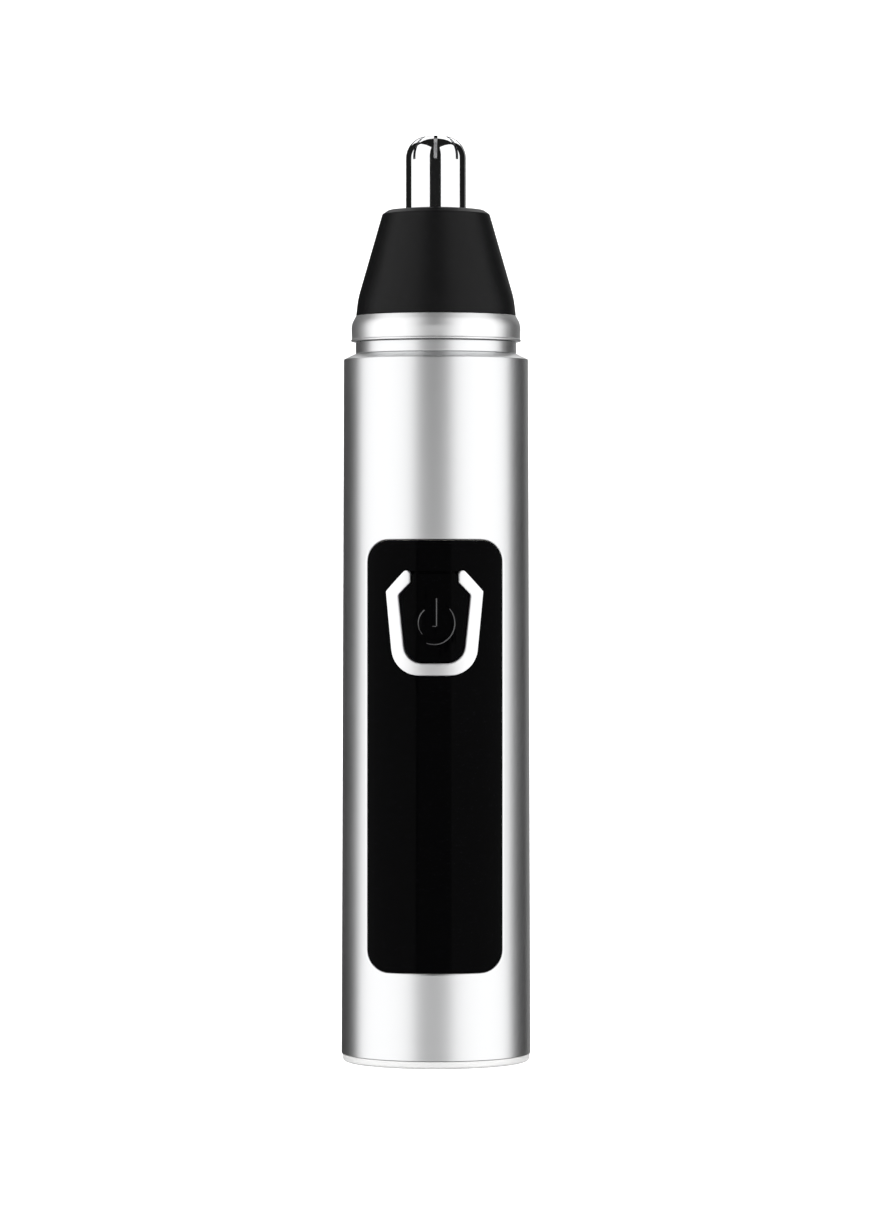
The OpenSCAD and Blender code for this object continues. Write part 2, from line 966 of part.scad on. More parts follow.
module frame_rear() {
    color("#d8d4c8")
        difference() {
            union() {
                frame_shell(1);
                collar_boss(1);
                for (z = motor_rib_z)
                    motor_rib(1, motor_z + z);
                for (z = saddle_z)
                    cell_saddle(z);
                intersection() {
                    at_base_screws()
                        disc(base_boss_r, base_floor_z + 0.2, base_boss_top_z);
                    disc(frame_in_r + 0.2, 0, base_boss_top_z + cut);
                }
            }
            at_base_screws()
                disc(screw_hole_r, 0, 8.2);
        }
}

// ---------- Electronics ----------

module circuit_board() {
    color("darkgreen")
        difference() {
            translate([-board_w / 2, board_y, board_z])
                cube([board_w, board_t, board_top_z - board_z]);
            for (side = [-1, 1], z = post_z)
                translate([side * post_x, board_y + 2, z])
                    rotate([90, 0, 0])
                        cylinder(r = screw_hole_r + 0.05, h = 5);
            for (side = [-1, 1])
                translate([side * base_screw_x, board_y - cut, 0])
                    translate([-2.2, 0, 0])
                        cube([4.4, 4, frame_z]);
        }
}

// Boxes stand for the charging chip, the motor transistor, a coil and small parts
module board_components() {
    color("#202020") {
        for (c = chips)
            translate([c[0], board_y - c[4] - 0.02, c[1]])
                cube([c[2], c[4], c[3]]);
        for (i = [0:3])
            translate([chip_row_x + chip_row_step * i, board_y - small_chip[1] - 0.02, chip_row_z])
                cube(small_chip);
    }
}

module board_screws() {
    color("silver")
        for (side = [-1, 1], z = post_z)
            translate([side * post_x, board_y + board_t + 0.02, z])
                rotate([-90, 0, 0])
                    screw(1.3, 0.8, 3);
}

module switch_body() {
    color("#2a2a2a")
        difference() {
            translate([-switch_side / 2, board_y - switch_h, button_z - switch_side / 2])
                cube([switch_side, switch_h - 0.02, switch_side]);
            translate([0, board_y - switch_h + plunger_in + button_travel + 0.1, button_z])
                rotate([90, 0, 0])
                    cylinder(r = plunger_r + 0.05, h = 5);
        }
}

module switch_plunger() {
    color("ivory")
        translate([0, board_y - switch_h + plunger_in, button_z])
            rotate([90, 0, 0])
                cylinder(r = plunger_r, h = plunger_in + plunger_out);
}

module battery_cell() {
    color("mediumseagreen")
        translate([0, cell_y, cell_z])
            union() {
                cylinder(r = cell_r, h = cell_l - 0.8);
                cylinder(r = cell_r - cell_wrap_edge, h = cell_l - 0.3);
                cylinder(r = cell_cap_r, h = cell_l);
            }
}

module battery_tabs() {
    color("lightgray") {
        for (z = [cell_top_z + 0.02, cell_z - cell_tab[2] - 0.02])
            translate([-cell_tab[0] / 2, cell_y - 5.5, z])
                cube(cell_tab);
    }
}

module battery_foam() {
    color("#505050")
        translate([-foam_w / 2, board_y + board_t + gap, foam_z])
            cube([foam_w, cell_y - cell_r - board_y - board_t - 2 * gap, foam_h]);
}

// ---------- Wires ----------

// A point on the smooth curve through p1 and p2, with p0 and p3 outside them
function curve_point(p0, p1, p2, p3, t) = 0.5 * (
    2 * p1 + (p2 - p0) * t
    + (2 * p0 - 5 * p1 + 4 * p2 - p3) * t * t
    + (3 * p1 - p0 - 3 * p2 + p3) * t * t * t
);

function smooth_route(p, n = 4) = let(last = len(p) - 1) concat(
    [for (i = [0:last - 1], k = [0:n - 1])
        curve_point(p[max(i - 1, 0)], p[i], p[i + 1], p[min(i + 2, last)], k / n)],
    [p[last]]
);

// Sideways directions at each point of a route, for a tube swept along it
function side_of(d) = let(s = cross(d, [0.31, 0.23, 0.92])) s / norm(s);

module wire(route) {
    path = smooth_route(route);
    last = len(path) - 1;
    sides = 8;
    pts = [
        for (i = [0:last], j = [0:sides - 1])
            let(
                d = path[min(i + 1, last)] - path[max(i - 1, 0)],
                s = side_of(d),
                up = cross(d, s) / norm(d)
            )
            path[i] + wire_r * (cos(360 * j / sides) * s + sin(360 * j / sides) * up)
    ];
    polyhedron(pts, tube_faces(last, sides), convexity = 6);
}

module battery_wire_red() {
    color("red")
        wire([
            [2.8, 0.5, cell_top_z + 0.7], [3.6, -2.4, cell_top_z + 0.7], [3.8, -4.4, cell_top_z - 2],
            [3.8, wire_y + 0.4, cell_top_z - 5], [3.8, wire_y, cell_top_z - 7]
        ]);
}

module battery_wire_black() {
    color("#181818")
        wire([
            [-2.8, 0.5, cell_z - 0.8], [-4, -1.8, cell_z - 0.9], [-5, -3.4, cell_z + 0.5],
            [-5, wire_y + 0.3, cell_z + 3], [-5, wire_y, cell_z + 5]
        ]);
}

module motor_wire_red() {
    color("red")
        wire([
            [6.9, 0, motor_z - 1.5], [6.8, -1.5, motor_z - 3.2], [6.2, -3.5, motor_z - 4.7],
            [5.7, wire_y + 0.3, motor_z - 5.8], [5.5, wire_y, motor_z - 7.2]
        ]);
}

module motor_wire_black() {
    color("#181818")
        wire([
            [-6.9, 0, motor_z - 1.5], [-6.9, -1.5, motor_z - 3.3], [-6.3, -3.6, motor_z - 4.6],
            [-5.8, wire_y + 0.2, motor_z - 5.6], [-5.6, wire_y, motor_z - 7]
        ]);
}

// ---------- Charging inlet ----------

module inlet_outline(w, t) {
    polygon(rounded([
        [-w / 2, -t / 2, t * 0.42],
        [w / 2, -t / 2, t * 0.42],
        [w / 2, t / 2, t * 0.42],
        [-w / 2, t / 2, t * 0.42]
    ]));
}

module inlet_shell() {
    color("silver")
        translate([0, inlet_y, inlet_z])
            difference() {
                linear_extrude(inlet_h)
                    inlet_outline(inlet_w, inlet_t);
                translate([0, 0, -cut])
                    linear_extrude(inlet_h)
                        inlet_outline(inlet_w - 2 * inlet_wall, inlet_t - 2 * inlet_wall);
            }
}

module inlet_tongue() {
    color("#101010")
        translate([-tongue_w / 2, inlet_y - tongue_t / 2, inlet_z + 0.5])
            cube([tongue_w, tongue_t, inlet_h - 1.55]);
}

body_tube();
base_cap();
base_screws();
front_panel();
u_trim();
power_button();
neck_collar();
collar_screws();
neck_o_ring();
head_cone();
head_ring();
outer_cutter();
cutter_retainer();
inner_cutter();
blade_spindle();
blade_spring();
drive_coupling();
motor_can();
motor_magnets();
motor_end_bell();
front_bushing();
rear_bushing();
motor_brushes();
motor_shaft();
armature_core();
armature_windings();
commutator();
motor_damper();
motor_mount();
frame_front();
frame_rear();
circuit_board();
board_components();
board_screws();
switch_body();
switch_plunger();
battery_cell();
battery_tabs();
battery_foam();
battery_wire_red();
battery_wire_black();
motor_wire_red();
motor_wire_black();
inlet_shell();
inlet_tongue();
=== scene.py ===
# %% [markdown]
# # A nose hair trimmer, piece by piece
# The working design is already there as CAD solids. Here it gets its looks:
# finer outer shells with real edges, a finish for every piece, and a small
# white studio. Everything is in metres and in the design's own frame: Z is
# up, the base stands at zero, and the panel with the button faces -Y.

# %% Load the design
import math

import bmesh
import bpy
from mathutils import Matrix, Vector


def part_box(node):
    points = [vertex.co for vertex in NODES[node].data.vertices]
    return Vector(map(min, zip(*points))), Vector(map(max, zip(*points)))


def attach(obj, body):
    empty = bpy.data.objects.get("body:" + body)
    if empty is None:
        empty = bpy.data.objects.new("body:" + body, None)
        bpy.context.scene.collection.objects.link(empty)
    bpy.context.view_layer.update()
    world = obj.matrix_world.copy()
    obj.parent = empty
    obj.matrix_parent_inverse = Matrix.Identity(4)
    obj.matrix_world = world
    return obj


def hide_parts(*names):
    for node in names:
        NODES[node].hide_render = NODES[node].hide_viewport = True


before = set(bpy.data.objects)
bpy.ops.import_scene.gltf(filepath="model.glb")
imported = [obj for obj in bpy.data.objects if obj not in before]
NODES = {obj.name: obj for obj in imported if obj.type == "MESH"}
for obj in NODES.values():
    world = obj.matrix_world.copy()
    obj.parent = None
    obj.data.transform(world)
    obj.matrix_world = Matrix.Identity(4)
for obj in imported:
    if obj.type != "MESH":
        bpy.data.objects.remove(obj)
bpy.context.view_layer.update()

MM = 0.001

# %% [markdown]
# ## Outlines
# Most outer pieces start as an outline: a lathe profile, or a shape drawn
# flat and then bent round the tube. One helper turns a few corners, each
# with a radius, into a smooth line. Real edges are never perfectly sharp, so
# nearly every corner here has a small radius that catches the light.


# %% Outline helpers
def rounded(corners, closed=True, steps=6):
    """Points along (a, b, radius) corners, in millimetres, with each corner rounded."""
    points = []
    count = len(corners)
    for i, (a, b, radius) in enumerate(corners):
        here = Vector((a, b))
        at_end = not closed and i in (0, count - 1)
        if radius <= 0 or at_end:
            points.append(here)
            continue
        before = Vector(corners[i - 1][:2])
        after = Vector(corners[(i + 1) % count][:2])
        u = (before - here).normalized()
        v = (after - here).normalized()
        half = u.angle(v) / 2
        centre = here + (u + v).normalized() * radius / math.sin(half)
        first = here + u * radius / math.tan(half) - centre
        last = here + v * radius / math.tan(half) - centre
        swing = math.atan2(first.x * last.y - first.y * last.x, first.dot(last))
        start = math.atan2(first.y, first.x)
        for k in range(steps + 1):
            turn = start + swing * k / steps
            points.append(centre + radius * Vector((math.cos(turn), math.sin(turn))))
    return points


def grown(points, amount):
    """The same closed outline, moved outwards by an amount all round."""
    area = sum(p.cross(q) for p, q in zip(points, points[1:] + points[:1]))
    turn = 1 if area > 0 else -1
    moved = []
    for i, here in enumerate(points):
        u = (here - points[i - 1]).normalized()
        v = (points[(i + 1) % len(points)] - here).normalized()
        out_u = Vector((u.y, -u.x)) * turn
        out_v = Vector((v.y, -v.x)) * turn
        out = out_u + out_v
        moved.append(here + out * (2 * amount / out.length_squared))
    return moved


def mirrored(half):
    """A right-hand list of corners followed by its mirror image."""
    return half + [(-a, b, radius) for a, b, radius in reversed(half)]


# %% [markdown]
# ## Finishing a mesh
# A turned or bent piece is made of flat facets. Smooth shading hides them,
# and edges sharper than a chosen angle stay crisp. Each finished piece then
# rides on the CAD body that it belongs to and stands for its CAD node. The
# printed line counts the edges that are open or that join a face looking in
# to one looking out, and it should say zero.


# %% Finish helper
def finish_piece(name, bm, body, node, crisp=38):
    """Closes a bmesh into an object that rides on a body and replaces a CAD node."""
    bmesh.ops.remove_doubles(bm, verts=bm.verts, dist=0.0005 * MM)
    bmesh.ops.recalc_face_normals(bm, faces=bm.faces)
    flaws = sum(1 for e in bm.edges if not e.is_contiguous)
    mesh = bpy.data.meshes.new(name)
    bm.to_mesh(mesh)
    bm.free()
    mesh.shade_smooth()
    mesh.set_sharp_from_angle(angle=math.radians(crisp))
    piece = bpy.data.objects.new(name, mesh)
    bpy.context.scene.collection.objects.link(piece)
    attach(piece, body)
    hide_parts(node)
    print(f"{name}: {len(mesh.polygons)} faces, {flaws} open or flipped edges")
    return piece


def join_in(bm, other):
    """Moves the faces of another bmesh into this one."""
    carrier = bpy.data.meshes.new("carrier")
    other.to_mesh(carrier)
    other.free()
    bm.from_mesh(carrier)
    bpy.data.meshes.remove(carrier)


def look_outwards(bm, rank, outward):
    """Turns all faces so that the one whose middle ranks highest looks outward."""
    bmesh.ops.recalc_face_normals(bm, faces=bm.faces)
    guide = max(bm.faces, key=lambda f: rank(f.calc_center_median()))
    if guide.normal.dot(outward) < 0:
        bmesh.ops.reverse_faces(bm, faces=bm.faces)


# %% [markdown]
# ## Turned pieces
# The ring, neck, cone, cutter and base are all round, as if from a lathe.
# Half of the cross-section is drawn once and spun about the axis. The full
# spin merges its last step with its first, and points on the axis close into
# a pole. A short extra step beside each rounded corner keeps the shading of
# the straight walls straight.


# %% Lathe helper
def held(points, closed, hold=0.12):
    """Adds a point just inside each end of every long straight stretch."""
    made = []
    pairs = list(zip(points, points[1:] + points[:1]))
    if not closed:
        pairs = pairs[:-1]
    for p, q in pairs:
        made.append(p)
        step = q - p
        if step.length > 3 * hold:
            made.append(p + step.normalized() * hold)
            made.append(q - step.normalized() * hold)
    if not closed:
        made.append(points[-1])
    return made


def turned(corners, closed=True, steps=192, arc_steps=8):
    """Spins a profile of (radius, height, corner radius) in mm into a bmesh."""
    bm = bmesh.new()
    points = held(rounded(corners, closed, arc_steps), closed)
    verts = [bm.verts.new((p.x * MM, 0, p.y * MM)) for p in points]
    edges = [bm.edges.new(pair) for pair in zip(verts, verts[1:])]
    if closed:
        edges.append(bm.edges.new((verts[-1], verts[0])))
    bmesh.ops.spin(
        bm, geom=verts + edges, cent=(0, 0, 0), axis=(0, 0, 1), dvec=(0, 0, 0),
        angle=math.tau, steps=steps, use_merge=True, use_duplicate=False,
    )
    return bm


def size(node):
    """Outer radius, lowest height and highest height of a round CAD node, in mm."""
    low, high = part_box(node)
    return high.x / MM, low.z / MM, high.z / MM


# %% [markdown]
# ## Flat plates
# The panel, the trim and the button start as flat plates: an outline, any
# holes in it, a front face with softened edges and a plain back. A narrow flat
# band beside each softened edge keeps the shading of the big face flat. Each
# engraved shape is filled as its own face, set back from the front.


# %% Plate helper
HOLD = 0.1
WIDE_WALL = 0.16


def loop(bm, points, depth):
    """A closed ring of edges from outline points (mm), at one depth (mm)."""
    verts = [bm.verts.new((p.x * MM, depth * MM, p.y * MM)) for p in points]
    return [bm.edges.new((verts[i - 1], verts[i])) for i in range(len(verts))]


def keep(edges):
    """Marks flat edges that must stay, to hold the shading beside them."""
    for edge in edges:
        edge.seam = True


def plate(outer, holes, top, back, edge, engraved=(), draft=0):
    """A flat plate with softened edges: outline and holes in mm, depth along Y.

    Each engraved shape is an outline and a depth, sunk into the front face by
    a slanted cutter: the walls that look up and left are wide, the others steep.
    The wide walls get the piece's second finish, a grey painted highlight where light would catch
    them. Draft draws the back in.
    """
    bm = bmesh.new()
    fronts = []
    backs = []
    for shape, out in [(outer, 1)] + [(hole, -1) for hole in holes]:
        steps = [
            (edge + HOLD, 0), (edge, 0), (edge * 0.29, edge * 0.29), (0, edge),
            (draft, back - top),
        ]
        rings = [loop(bm, grown(shape, -inset * out), top + depth) for inset, depth in steps]
        for near, far in zip(rings, rings[1:]):
            bmesh.ops.bridge_loops(bm, edges=near + far)
        keep(rings[0])
        fronts += rings[0]
        backs += rings[-1]
    for shape, depth in engraved:
        lip = loop(bm, shape, top)
        low = [p + Vector((-0.07, 0.05)) for p in grown(shape, -0.09)]
        floor = loop(bm, low, top + depth)
        walls = bmesh.ops.bridge_loops(bm, edges=lip + floor)["faces"]
        bmesh.ops.triangle_fill(bm, edges=floor, use_beauty=True)
        for wall in walls:
            width = wall.calc_area() / max(e.calc_length() for e in wall.edges)
            # Wide walls, the ones that look up and left, take the second finish: a painted
            # highlight.
            if width > WIDE_WALL * MM:
                wall.material_index = 1
        fronts += lip
    bmesh.ops.triangle_fill(bm, edges=fronts, use_beauty=True)
    bmesh.ops.triangle_fill(bm, edges=backs, use_beauty=True)
    return bm


# %% [markdown]
# ## Bending a flat piece round the tube
# The panel, its bright trim and the button all follow the tube's curve. They
# are drawn flat, sliced into narrow upright strips, and then rolled: sideways
# distance becomes an angle, and depth becomes distance towards the axis. The
# same roll makes the tube itself, so that all of them sit flush.

# %% The tube's path and the roll
TUBE_R, TUBE_LOW, TUBE_TOP = size("body_tube")
NECK_R, _, _ = size("neck_collar")
TUBE_TAPER = 0.36
SHOULDER_DROP = 0.75
SHOULDER_IN = NECK_R + 0.15
NECK_HOLE_R = 10.9
LIP = 0.05

tube_path = held(rounded([
    (TUBE_R - LIP, TUBE_LOW, 0),
    (TUBE_R, TUBE_LOW + LIP, 0.05),
    (TUBE_R - TUBE_TAPER, TUBE_TOP - SHOULDER_DROP, 0.22),
    (SHOULDER_IN, TUBE_TOP, 0.12),
    (NECK_HOLE_R, TUBE_TOP, 0),
], closed=False), closed=False)
path_length = [0]
for p, q in zip(tube_path, tube_path[1:]):
    path_length.append(path_length[-1] + (q - p).length)


def wall_radius(height):
    """Outer radius of the tapered wall at a height, in mm."""
    rise = (height - TUBE_LOW - LIP) / (TUBE_TOP - SHOULDER_DROP - TUBE_LOW - LIP)
    return TUBE_R - TUBE_TAPER * rise


def unrolled(points):
    """Straight-across outline points, with their sideways distance laid out flat."""
    return [Vector((TUBE_R * math.asin(p.x / wall_radius(p.y)), p.y)) for p in points]


def cut_into_strips(bm, spacing, reach):
    """Slices a flat bmesh by upright planes, so that it can bend smoothly."""
    count = math.ceil(reach / spacing)
    for i in range(-count, count + 1):
        bmesh.ops.bisect_plane(
            bm, geom=bm.verts[:] + bm.edges[:] + bm.faces[:], dist=1e-8,
            plane_co=(i * spacing * MM, 0, 0), plane_no=(1, 0, 0),
        )


def drop_slanted_edges(bm):
    """Joins the slivers inside each strip, which are flat with their neighbours."""
    tiny = 1e-8
    slanted = [
        e for e in bm.edges
        if len(e.link_faces) == 2 and not e.seam
        and e.calc_face_angle(1) < 0.001
        and abs(e.verts[0].co.x - e.verts[1].co.x) > tiny
        and abs(e.verts[0].co.z - e.verts[1].co.z) > tiny
    ]
    bmesh.ops.dissolve_edges(bm, edges=slanted, use_verts=False)


def roll_on_wall(bm):
    """Bends a flat bmesh round the tapered wall. Depth runs towards the axis."""
    for v in bm.verts:
        radius = wall_radius(v.co.z / MM) * MM - v.co.y
        turn = v.co.x / (TUBE_R * MM)
        v.co = (radius * math.sin(turn), -radius * math.cos(turn), v.co.z)


# %% [markdown]
# ## Metal tube
# The body is a drawn tube with a long window for the panel. Cutting a window
# in a round wall is awkward, so the wall is drawn as a flat sheet with the
# window in it, sliced into strips and rolled up along its own profile: a
# small lip at the foot, the tapered wall, the shoulder and the hole for the
# neck. Solidify then gives the sheet its thickness.

# %% Build the tube
PANEL_LOW, PANEL_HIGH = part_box("front_panel")
PANEL_W = (PANEL_HIGH.x - PANEL_LOW.x) / MM
PANEL_Z0 = PANEL_LOW.z / MM
PANEL_Z1 = PANEL_HIGH.z / MM
PANEL_CORNER = 3.06
TUBE_WALL = 0.9
TUBE_STEPS = 240


def panel_outline(margin):
    """The panel's rounded rectangle, grown by a margin, in straight-across mm."""
    half = PANEL_W / 2 + margin
    low = PANEL_Z0 - margin
    high = PANEL_Z1 + margin
    corner = PANEL_CORNER + margin
    return rounded([
        (half, low, corner), (half, high, corner), (-half, high, corner), (-half, low, corner)
    ], steps=10)


def along_path(distance):
    """The point and outward direction at a distance along the tube's profile."""
    for i, end in enumerate(path_length[1:]):
        if distance <= end + 1e-9:
            break
    p, q = tube_path[i], tube_path[i + 1]
    way = (q - p).normalized()
    return p + way * (distance - path_length[i]), Vector((way.y, -way.x))


def tube_shell():
    bm = bmesh.new()
    wall_start = path_length[next(i for i, p in enumerate(tube_path) if p.x >= TUBE_R - 0.001)]
    wall_foot = along_path(wall_start)[0].y
    half_round = math.pi * TUBE_R
    lift = Vector((0, wall_start - wall_foot))
    window = [p + lift for p in unrolled(panel_outline(0.06))]
    window_wide = [p + lift for p in unrolled(panel_outline(0.2))]
    sheet = [
        Vector((half_round, 0)), Vector((half_round, path_length[-1])),
        Vector((-half_round, path_length[-1])), Vector((-half_round, 0)),
    ]
    window_band = grown(window_wide, HOLD)
    band = loop(bm, window_band, 0)
    keep(band)
    lip = loop(bm, window_wide, 0)
    edge = loop(bm, window, 0.1)
    bmesh.ops.bridge_loops(bm, edges=band + lip)
    bmesh.ops.bridge_loops(bm, edges=lip + edge)
    bmesh.ops.triangle_fill(bm, edges=loop(bm, sheet, 0) + band, use_beauty=True)
    heights = [p.y for p in window_band]
    for distance in path_length[1:-1] + [min(heights) - HOLD, max(heights) + HOLD]:
        bmesh.ops.bisect_plane(
            bm, geom=bm.verts[:] + bm.edges[:] + bm.faces[:], dist=1e-8,
            plane_co=(0, 0, distance * MM), plane_no=(0, 0, 1),
        )
    cut_into_strips(bm, 2 * half_round / TUBE_STEPS, half_round * 0.999)
    drop_slanted_edges(bm)
    for v in bm.verts:
        point, outward = along_path(v.co.z / MM)
        spot = point * MM - outward * v.co.y
        turn = v.co.x / (TUBE_R * MM)
        v.co = (spot.x * math.sin(turn), -spot.x * math.cos(turn), spot.y)
    bmesh.ops.remove_doubles(bm, verts=bm.verts, dist=0.001 * MM)
    look_outwards(bm, lambda middle: middle.x, Vector((1, 0, 0)))
    bmesh.ops.solidify(bm, geom=bm.faces[:], thickness=TUBE_WALL * MM)
    return finish_piece("tube_shell", bm, "housing", "body_tube")


tube = tube_shell()

# %% [markdown]
# ## Round pieces with a pierced face
# The base and the neck are turned, but their end faces have screw holes and,
# in the base, a slot for the charging plug. The lathe leaves those faces
# open. Each hole is drawn as a stack of rings joined into a wall, and the
# face is then filled between its rim and the holes.


# %% Hole helpers
def ring_at(bm, points, height):
    """A ring of corners from outline points (mm) at one height (mm)."""
    return [bm.verts.new((p.x * MM, p.y * MM, height * MM)) for p in points]


def round_outline(x, y, radius, steps=32):
    """A circle's points, in mm."""
    turns = [math.tau * i / steps for i in range(steps)]
    return [Vector((x + radius * math.cos(a), y + radius * math.sin(a))) for a in turns]


def hole_wall(bm, rings):
    """Joins (outline, height) rings from top to bottom, and returns every ring's edges."""
    made = [ring_at(bm, points, height) for points, height in rings]
    for upper, lower in zip(made, made[1:]):
        for i in range(len(upper)):
            bm.faces.new((upper[i - 1], upper[i], lower[i], lower[i - 1]))
    return [[bm.edges.get((ring[i - 1], ring[i])) for i in range(len(ring))] for ring in made]


def fill_face(bm, height, holes):
    """Fills the open rim or rims of a turned piece at a height, round its holes."""
    rims = [
        e for e in bm.edges
        if len(e.link_faces) == 1 and e not in holes
        and all(abs(v.co.z - height * MM) < 1e-7 for v in e.verts)
    ]
    bmesh.ops.triangle_fill(bm, edges=rims + holes, use_beauty=True)


# %% [markdown]
# ## Base cap
# A thin pale rim under the tube, moulded in one with the floor that closes
# it. Its lower edge is softly rounded, so it throws a fine bright line. A
# shallow wall above it pushes into the tube. The floor has an oblong hole for
# the charging plug and two sunk screw holes.

# %% Build the base cap
INLET_LOW, INLET_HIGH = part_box("inlet_shell")
SCREW_LOW, SCREW_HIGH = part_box("base_screws")
SCREW_HEAD_R = 1.45
BASE_FLOOR = 1.6
PLUG_R = 12.14
PLUG_IN_R = 10.8
PLUG_TOP = 5.85
PLUG_CLEAR = 0.2
PLUG_CORNER_R = 1.4
FOOT_FACE_R = 12.6
BASE_SINK_R = 1.55
BASE_SINK_DEPTH = 0.85
BASE_SHANK_R = 0.9


def base_cap():
    base_r, foot, _ = size("base_cap")
    rim_top = TUBE_LOW - 0.03
    bm = turned([
        (FOOT_FACE_R, foot, 0), (base_r - 0.1, foot, 0.42), (base_r, rim_top, 0.04),
        (PLUG_R, rim_top, 0.05), (PLUG_R, PLUG_TOP, 0.2), (PLUG_IN_R, PLUG_TOP, 0.1),
        (PLUG_IN_R, BASE_FLOOR, 0.3), (PLUG_IN_R - 0.5, BASE_FLOOR, 0),
    ], closed=False)
    centre_y = (INLET_LOW.y + INLET_HIGH.y) / 2 / MM
    half_w = (INLET_HIGH.x - INLET_LOW.x) / 2 / MM + PLUG_CLEAR
    half_t = (INLET_HIGH.y - INLET_LOW.y) / 2 / MM + PLUG_CLEAR
    plug = rounded(mirrored([
        (half_w, centre_y - half_t, PLUG_CORNER_R), (half_w, centre_y + half_t, PLUG_CORNER_R),
    ]))
    stacks = [[(grown(plug, 0.15), foot), (plug, foot + 0.15), (plug, BASE_FLOOR)]]
    screw_x = SCREW_HIGH.x / MM - SCREW_HEAD_R
    screw_y = (SCREW_LOW.y + SCREW_HIGH.y) / 2 / MM
    for side in (-1, 1):
        def circle(radius):
            return round_outline(side * screw_x, screw_y, radius)
        stacks.append([
            (circle(BASE_SINK_R + 0.1), foot), (circle(BASE_SINK_R), foot + 0.1),
            (circle(BASE_SINK_R), BASE_SINK_DEPTH), (circle(BASE_SHANK_R), BASE_SINK_DEPTH),
            (circle(BASE_SHANK_R), BASE_FLOOR),
        ])
    walls = [hole_wall(bm, stack) for stack in stacks]
    fill_face(bm, foot, [e for wall in walls for e in wall[0]])
    fill_face(bm, BASE_FLOOR, [e for wall in walls for e in wall[-1]])
    return finish_piece("base_rim", bm, "housing", "base_cap")


base = base_cap()

# %% [markdown]
# ## Neck
# The silver neck closes the top of the tube. A flat flange carries the head,
# and a hollow spigot above it slides into the head and holds it by a rubber
# ring in a groove. Two sunk screws pull the flange down.

# %% Build the neck
FLANGE_TOP = 102.5
SPIGOT_R = 8.0
NECK_BORE_R = 5.4
COLLAR_SCREW_Y = 9.7
GROOVE_FLOOR_R = 7.06
NECK_SINK_R = 1.4
NECK_SINK_DEPTH = 1
NECK_SHANK_R = 0.84
RING_Z = (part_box("neck_o_ring")[0].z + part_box("neck_o_ring")[1].z) / 2 / MM


def neck_collar():
    flange_r, neck_low, neck_high = size("neck_collar")
    bm = turned([
        (SPIGOT_R + 0.12, FLANGE_TOP, 0), (SPIGOT_R, FLANGE_TOP, 0.06),
        (SPIGOT_R, RING_Z - 0.5, 0.06), (GROOVE_FLOOR_R, RING_Z - 0.5, 0.1),
        (GROOVE_FLOOR_R, RING_Z + 0.5, 0.1), (SPIGOT_R, RING_Z + 0.5, 0.06),
        (SPIGOT_R, neck_high, 0.5), (NECK_BORE_R, neck_high, 0.3),
        (NECK_BORE_R, neck_low, 0.2), (NECK_BORE_R + 0.5, neck_low, 0),
    ], closed=False)
    outside = turned([
        (NECK_HOLE_R - 0.3, neck_low, 0), (NECK_HOLE_R - 0.04, neck_low, 0.12),
        (NECK_HOLE_R - 0.04, TUBE_TOP + 0.04, 0.05), (flange_r, TUBE_TOP + 0.04, 0.15),
        (flange_r, FLANGE_TOP, 0.12), (flange_r - 0.22, FLANGE_TOP, 0),
    ], closed=False)
    join_in(bm, outside)
    sink_floor = FLANGE_TOP - NECK_SINK_DEPTH
    walls = []
    for side in (-1, 1):
        def circle(radius):
            return round_outline(0, side * COLLAR_SCREW_Y, radius)
        walls.append(hole_wall(bm, [
            (circle(NECK_SINK_R + 0.07), FLANGE_TOP), (circle(NECK_SINK_R), FLANGE_TOP - 0.07),
            (circle(NECK_SINK_R), sink_floor), (circle(NECK_SHANK_R), sink_floor),
            (circle(NECK_SHANK_R), neck_low),
        ]))
    fill_face(bm, FLANGE_TOP, [e for wall in walls for e in wall[0]])
    fill_face(bm, neck_low, [e for wall in walls for e in wall[-1]])
    return finish_piece("neck", bm, "housing", "neck_collar")


neck = neck_collar()

# %% [markdown]
# ## Cutting head
# The head is a black cone on a bright ring, with a polished cutter standing
# out of its top. The cone is hollow: a wide socket takes the neck's spigot,
# and a step above it takes the ring that holds the cutter's foot.

# %% Build the cone and the ring
RING_R, HEAD_Z, RING_TOP = size("head_ring")
_, _, CONE_TOP = size("head_cone")
CUTTER_FOOT_R, CUTTER_FOOT, CUTTER_TOP = size("outer_cutter")
CUTTER_R = 4.29
SEAT_R = 10.9
CONE_FOOT_R = 11.4
SKIRT_IN = 0.28
SKIRT_H = 2.44
SKIRT_CURVE_R = 12
RING_BELT_DROP = 1.25
RING_CURVE_R = 2.6
CONE_SHOULDER_R = 7.66
CROWN_R = 6.8
SOCKET_R = SPIGOT_R + 0.05
SOCKET_H = 6.2
CAVITY_R = 7.7
CAVITY_H = 7.3
RETAINER_R = 6.2
RETAINER_H = 11.8


def head_cone():
    cone_z = RING_TOP + 0.04
    socket_top = HEAD_Z + SOCKET_H
    cavity_top = cone_z + CAVITY_H
    retainer_top = cone_z + RETAINER_H
    bm = turned([
        (SOCKET_R, HEAD_Z, 0.3), (SEAT_R, HEAD_Z, 0.15), (SEAT_R, cone_z, 0),
        (CONE_FOOT_R, cone_z, 0.1), (CONE_FOOT_R - SKIRT_IN, cone_z + SKIRT_H, SKIRT_CURVE_R),
        (CONE_SHOULDER_R, CONE_TOP - 0.82, 0.35), (CROWN_R, CONE_TOP - 0.24, 0.8),
        (CUTTER_R + 0.04, CONE_TOP, 0.1), (CUTTER_R + 0.04, retainer_top, 0.05),
        (RETAINER_R, retainer_top, 0.05), (RETAINER_R, cavity_top, 0.2),
        (CAVITY_R, cavity_top, 0.2), (CAVITY_R, socket_top, 0.05),
        (SOCKET_R, socket_top, 0.05),
    ])
    return finish_piece("cone", bm, "head", "head_cone")


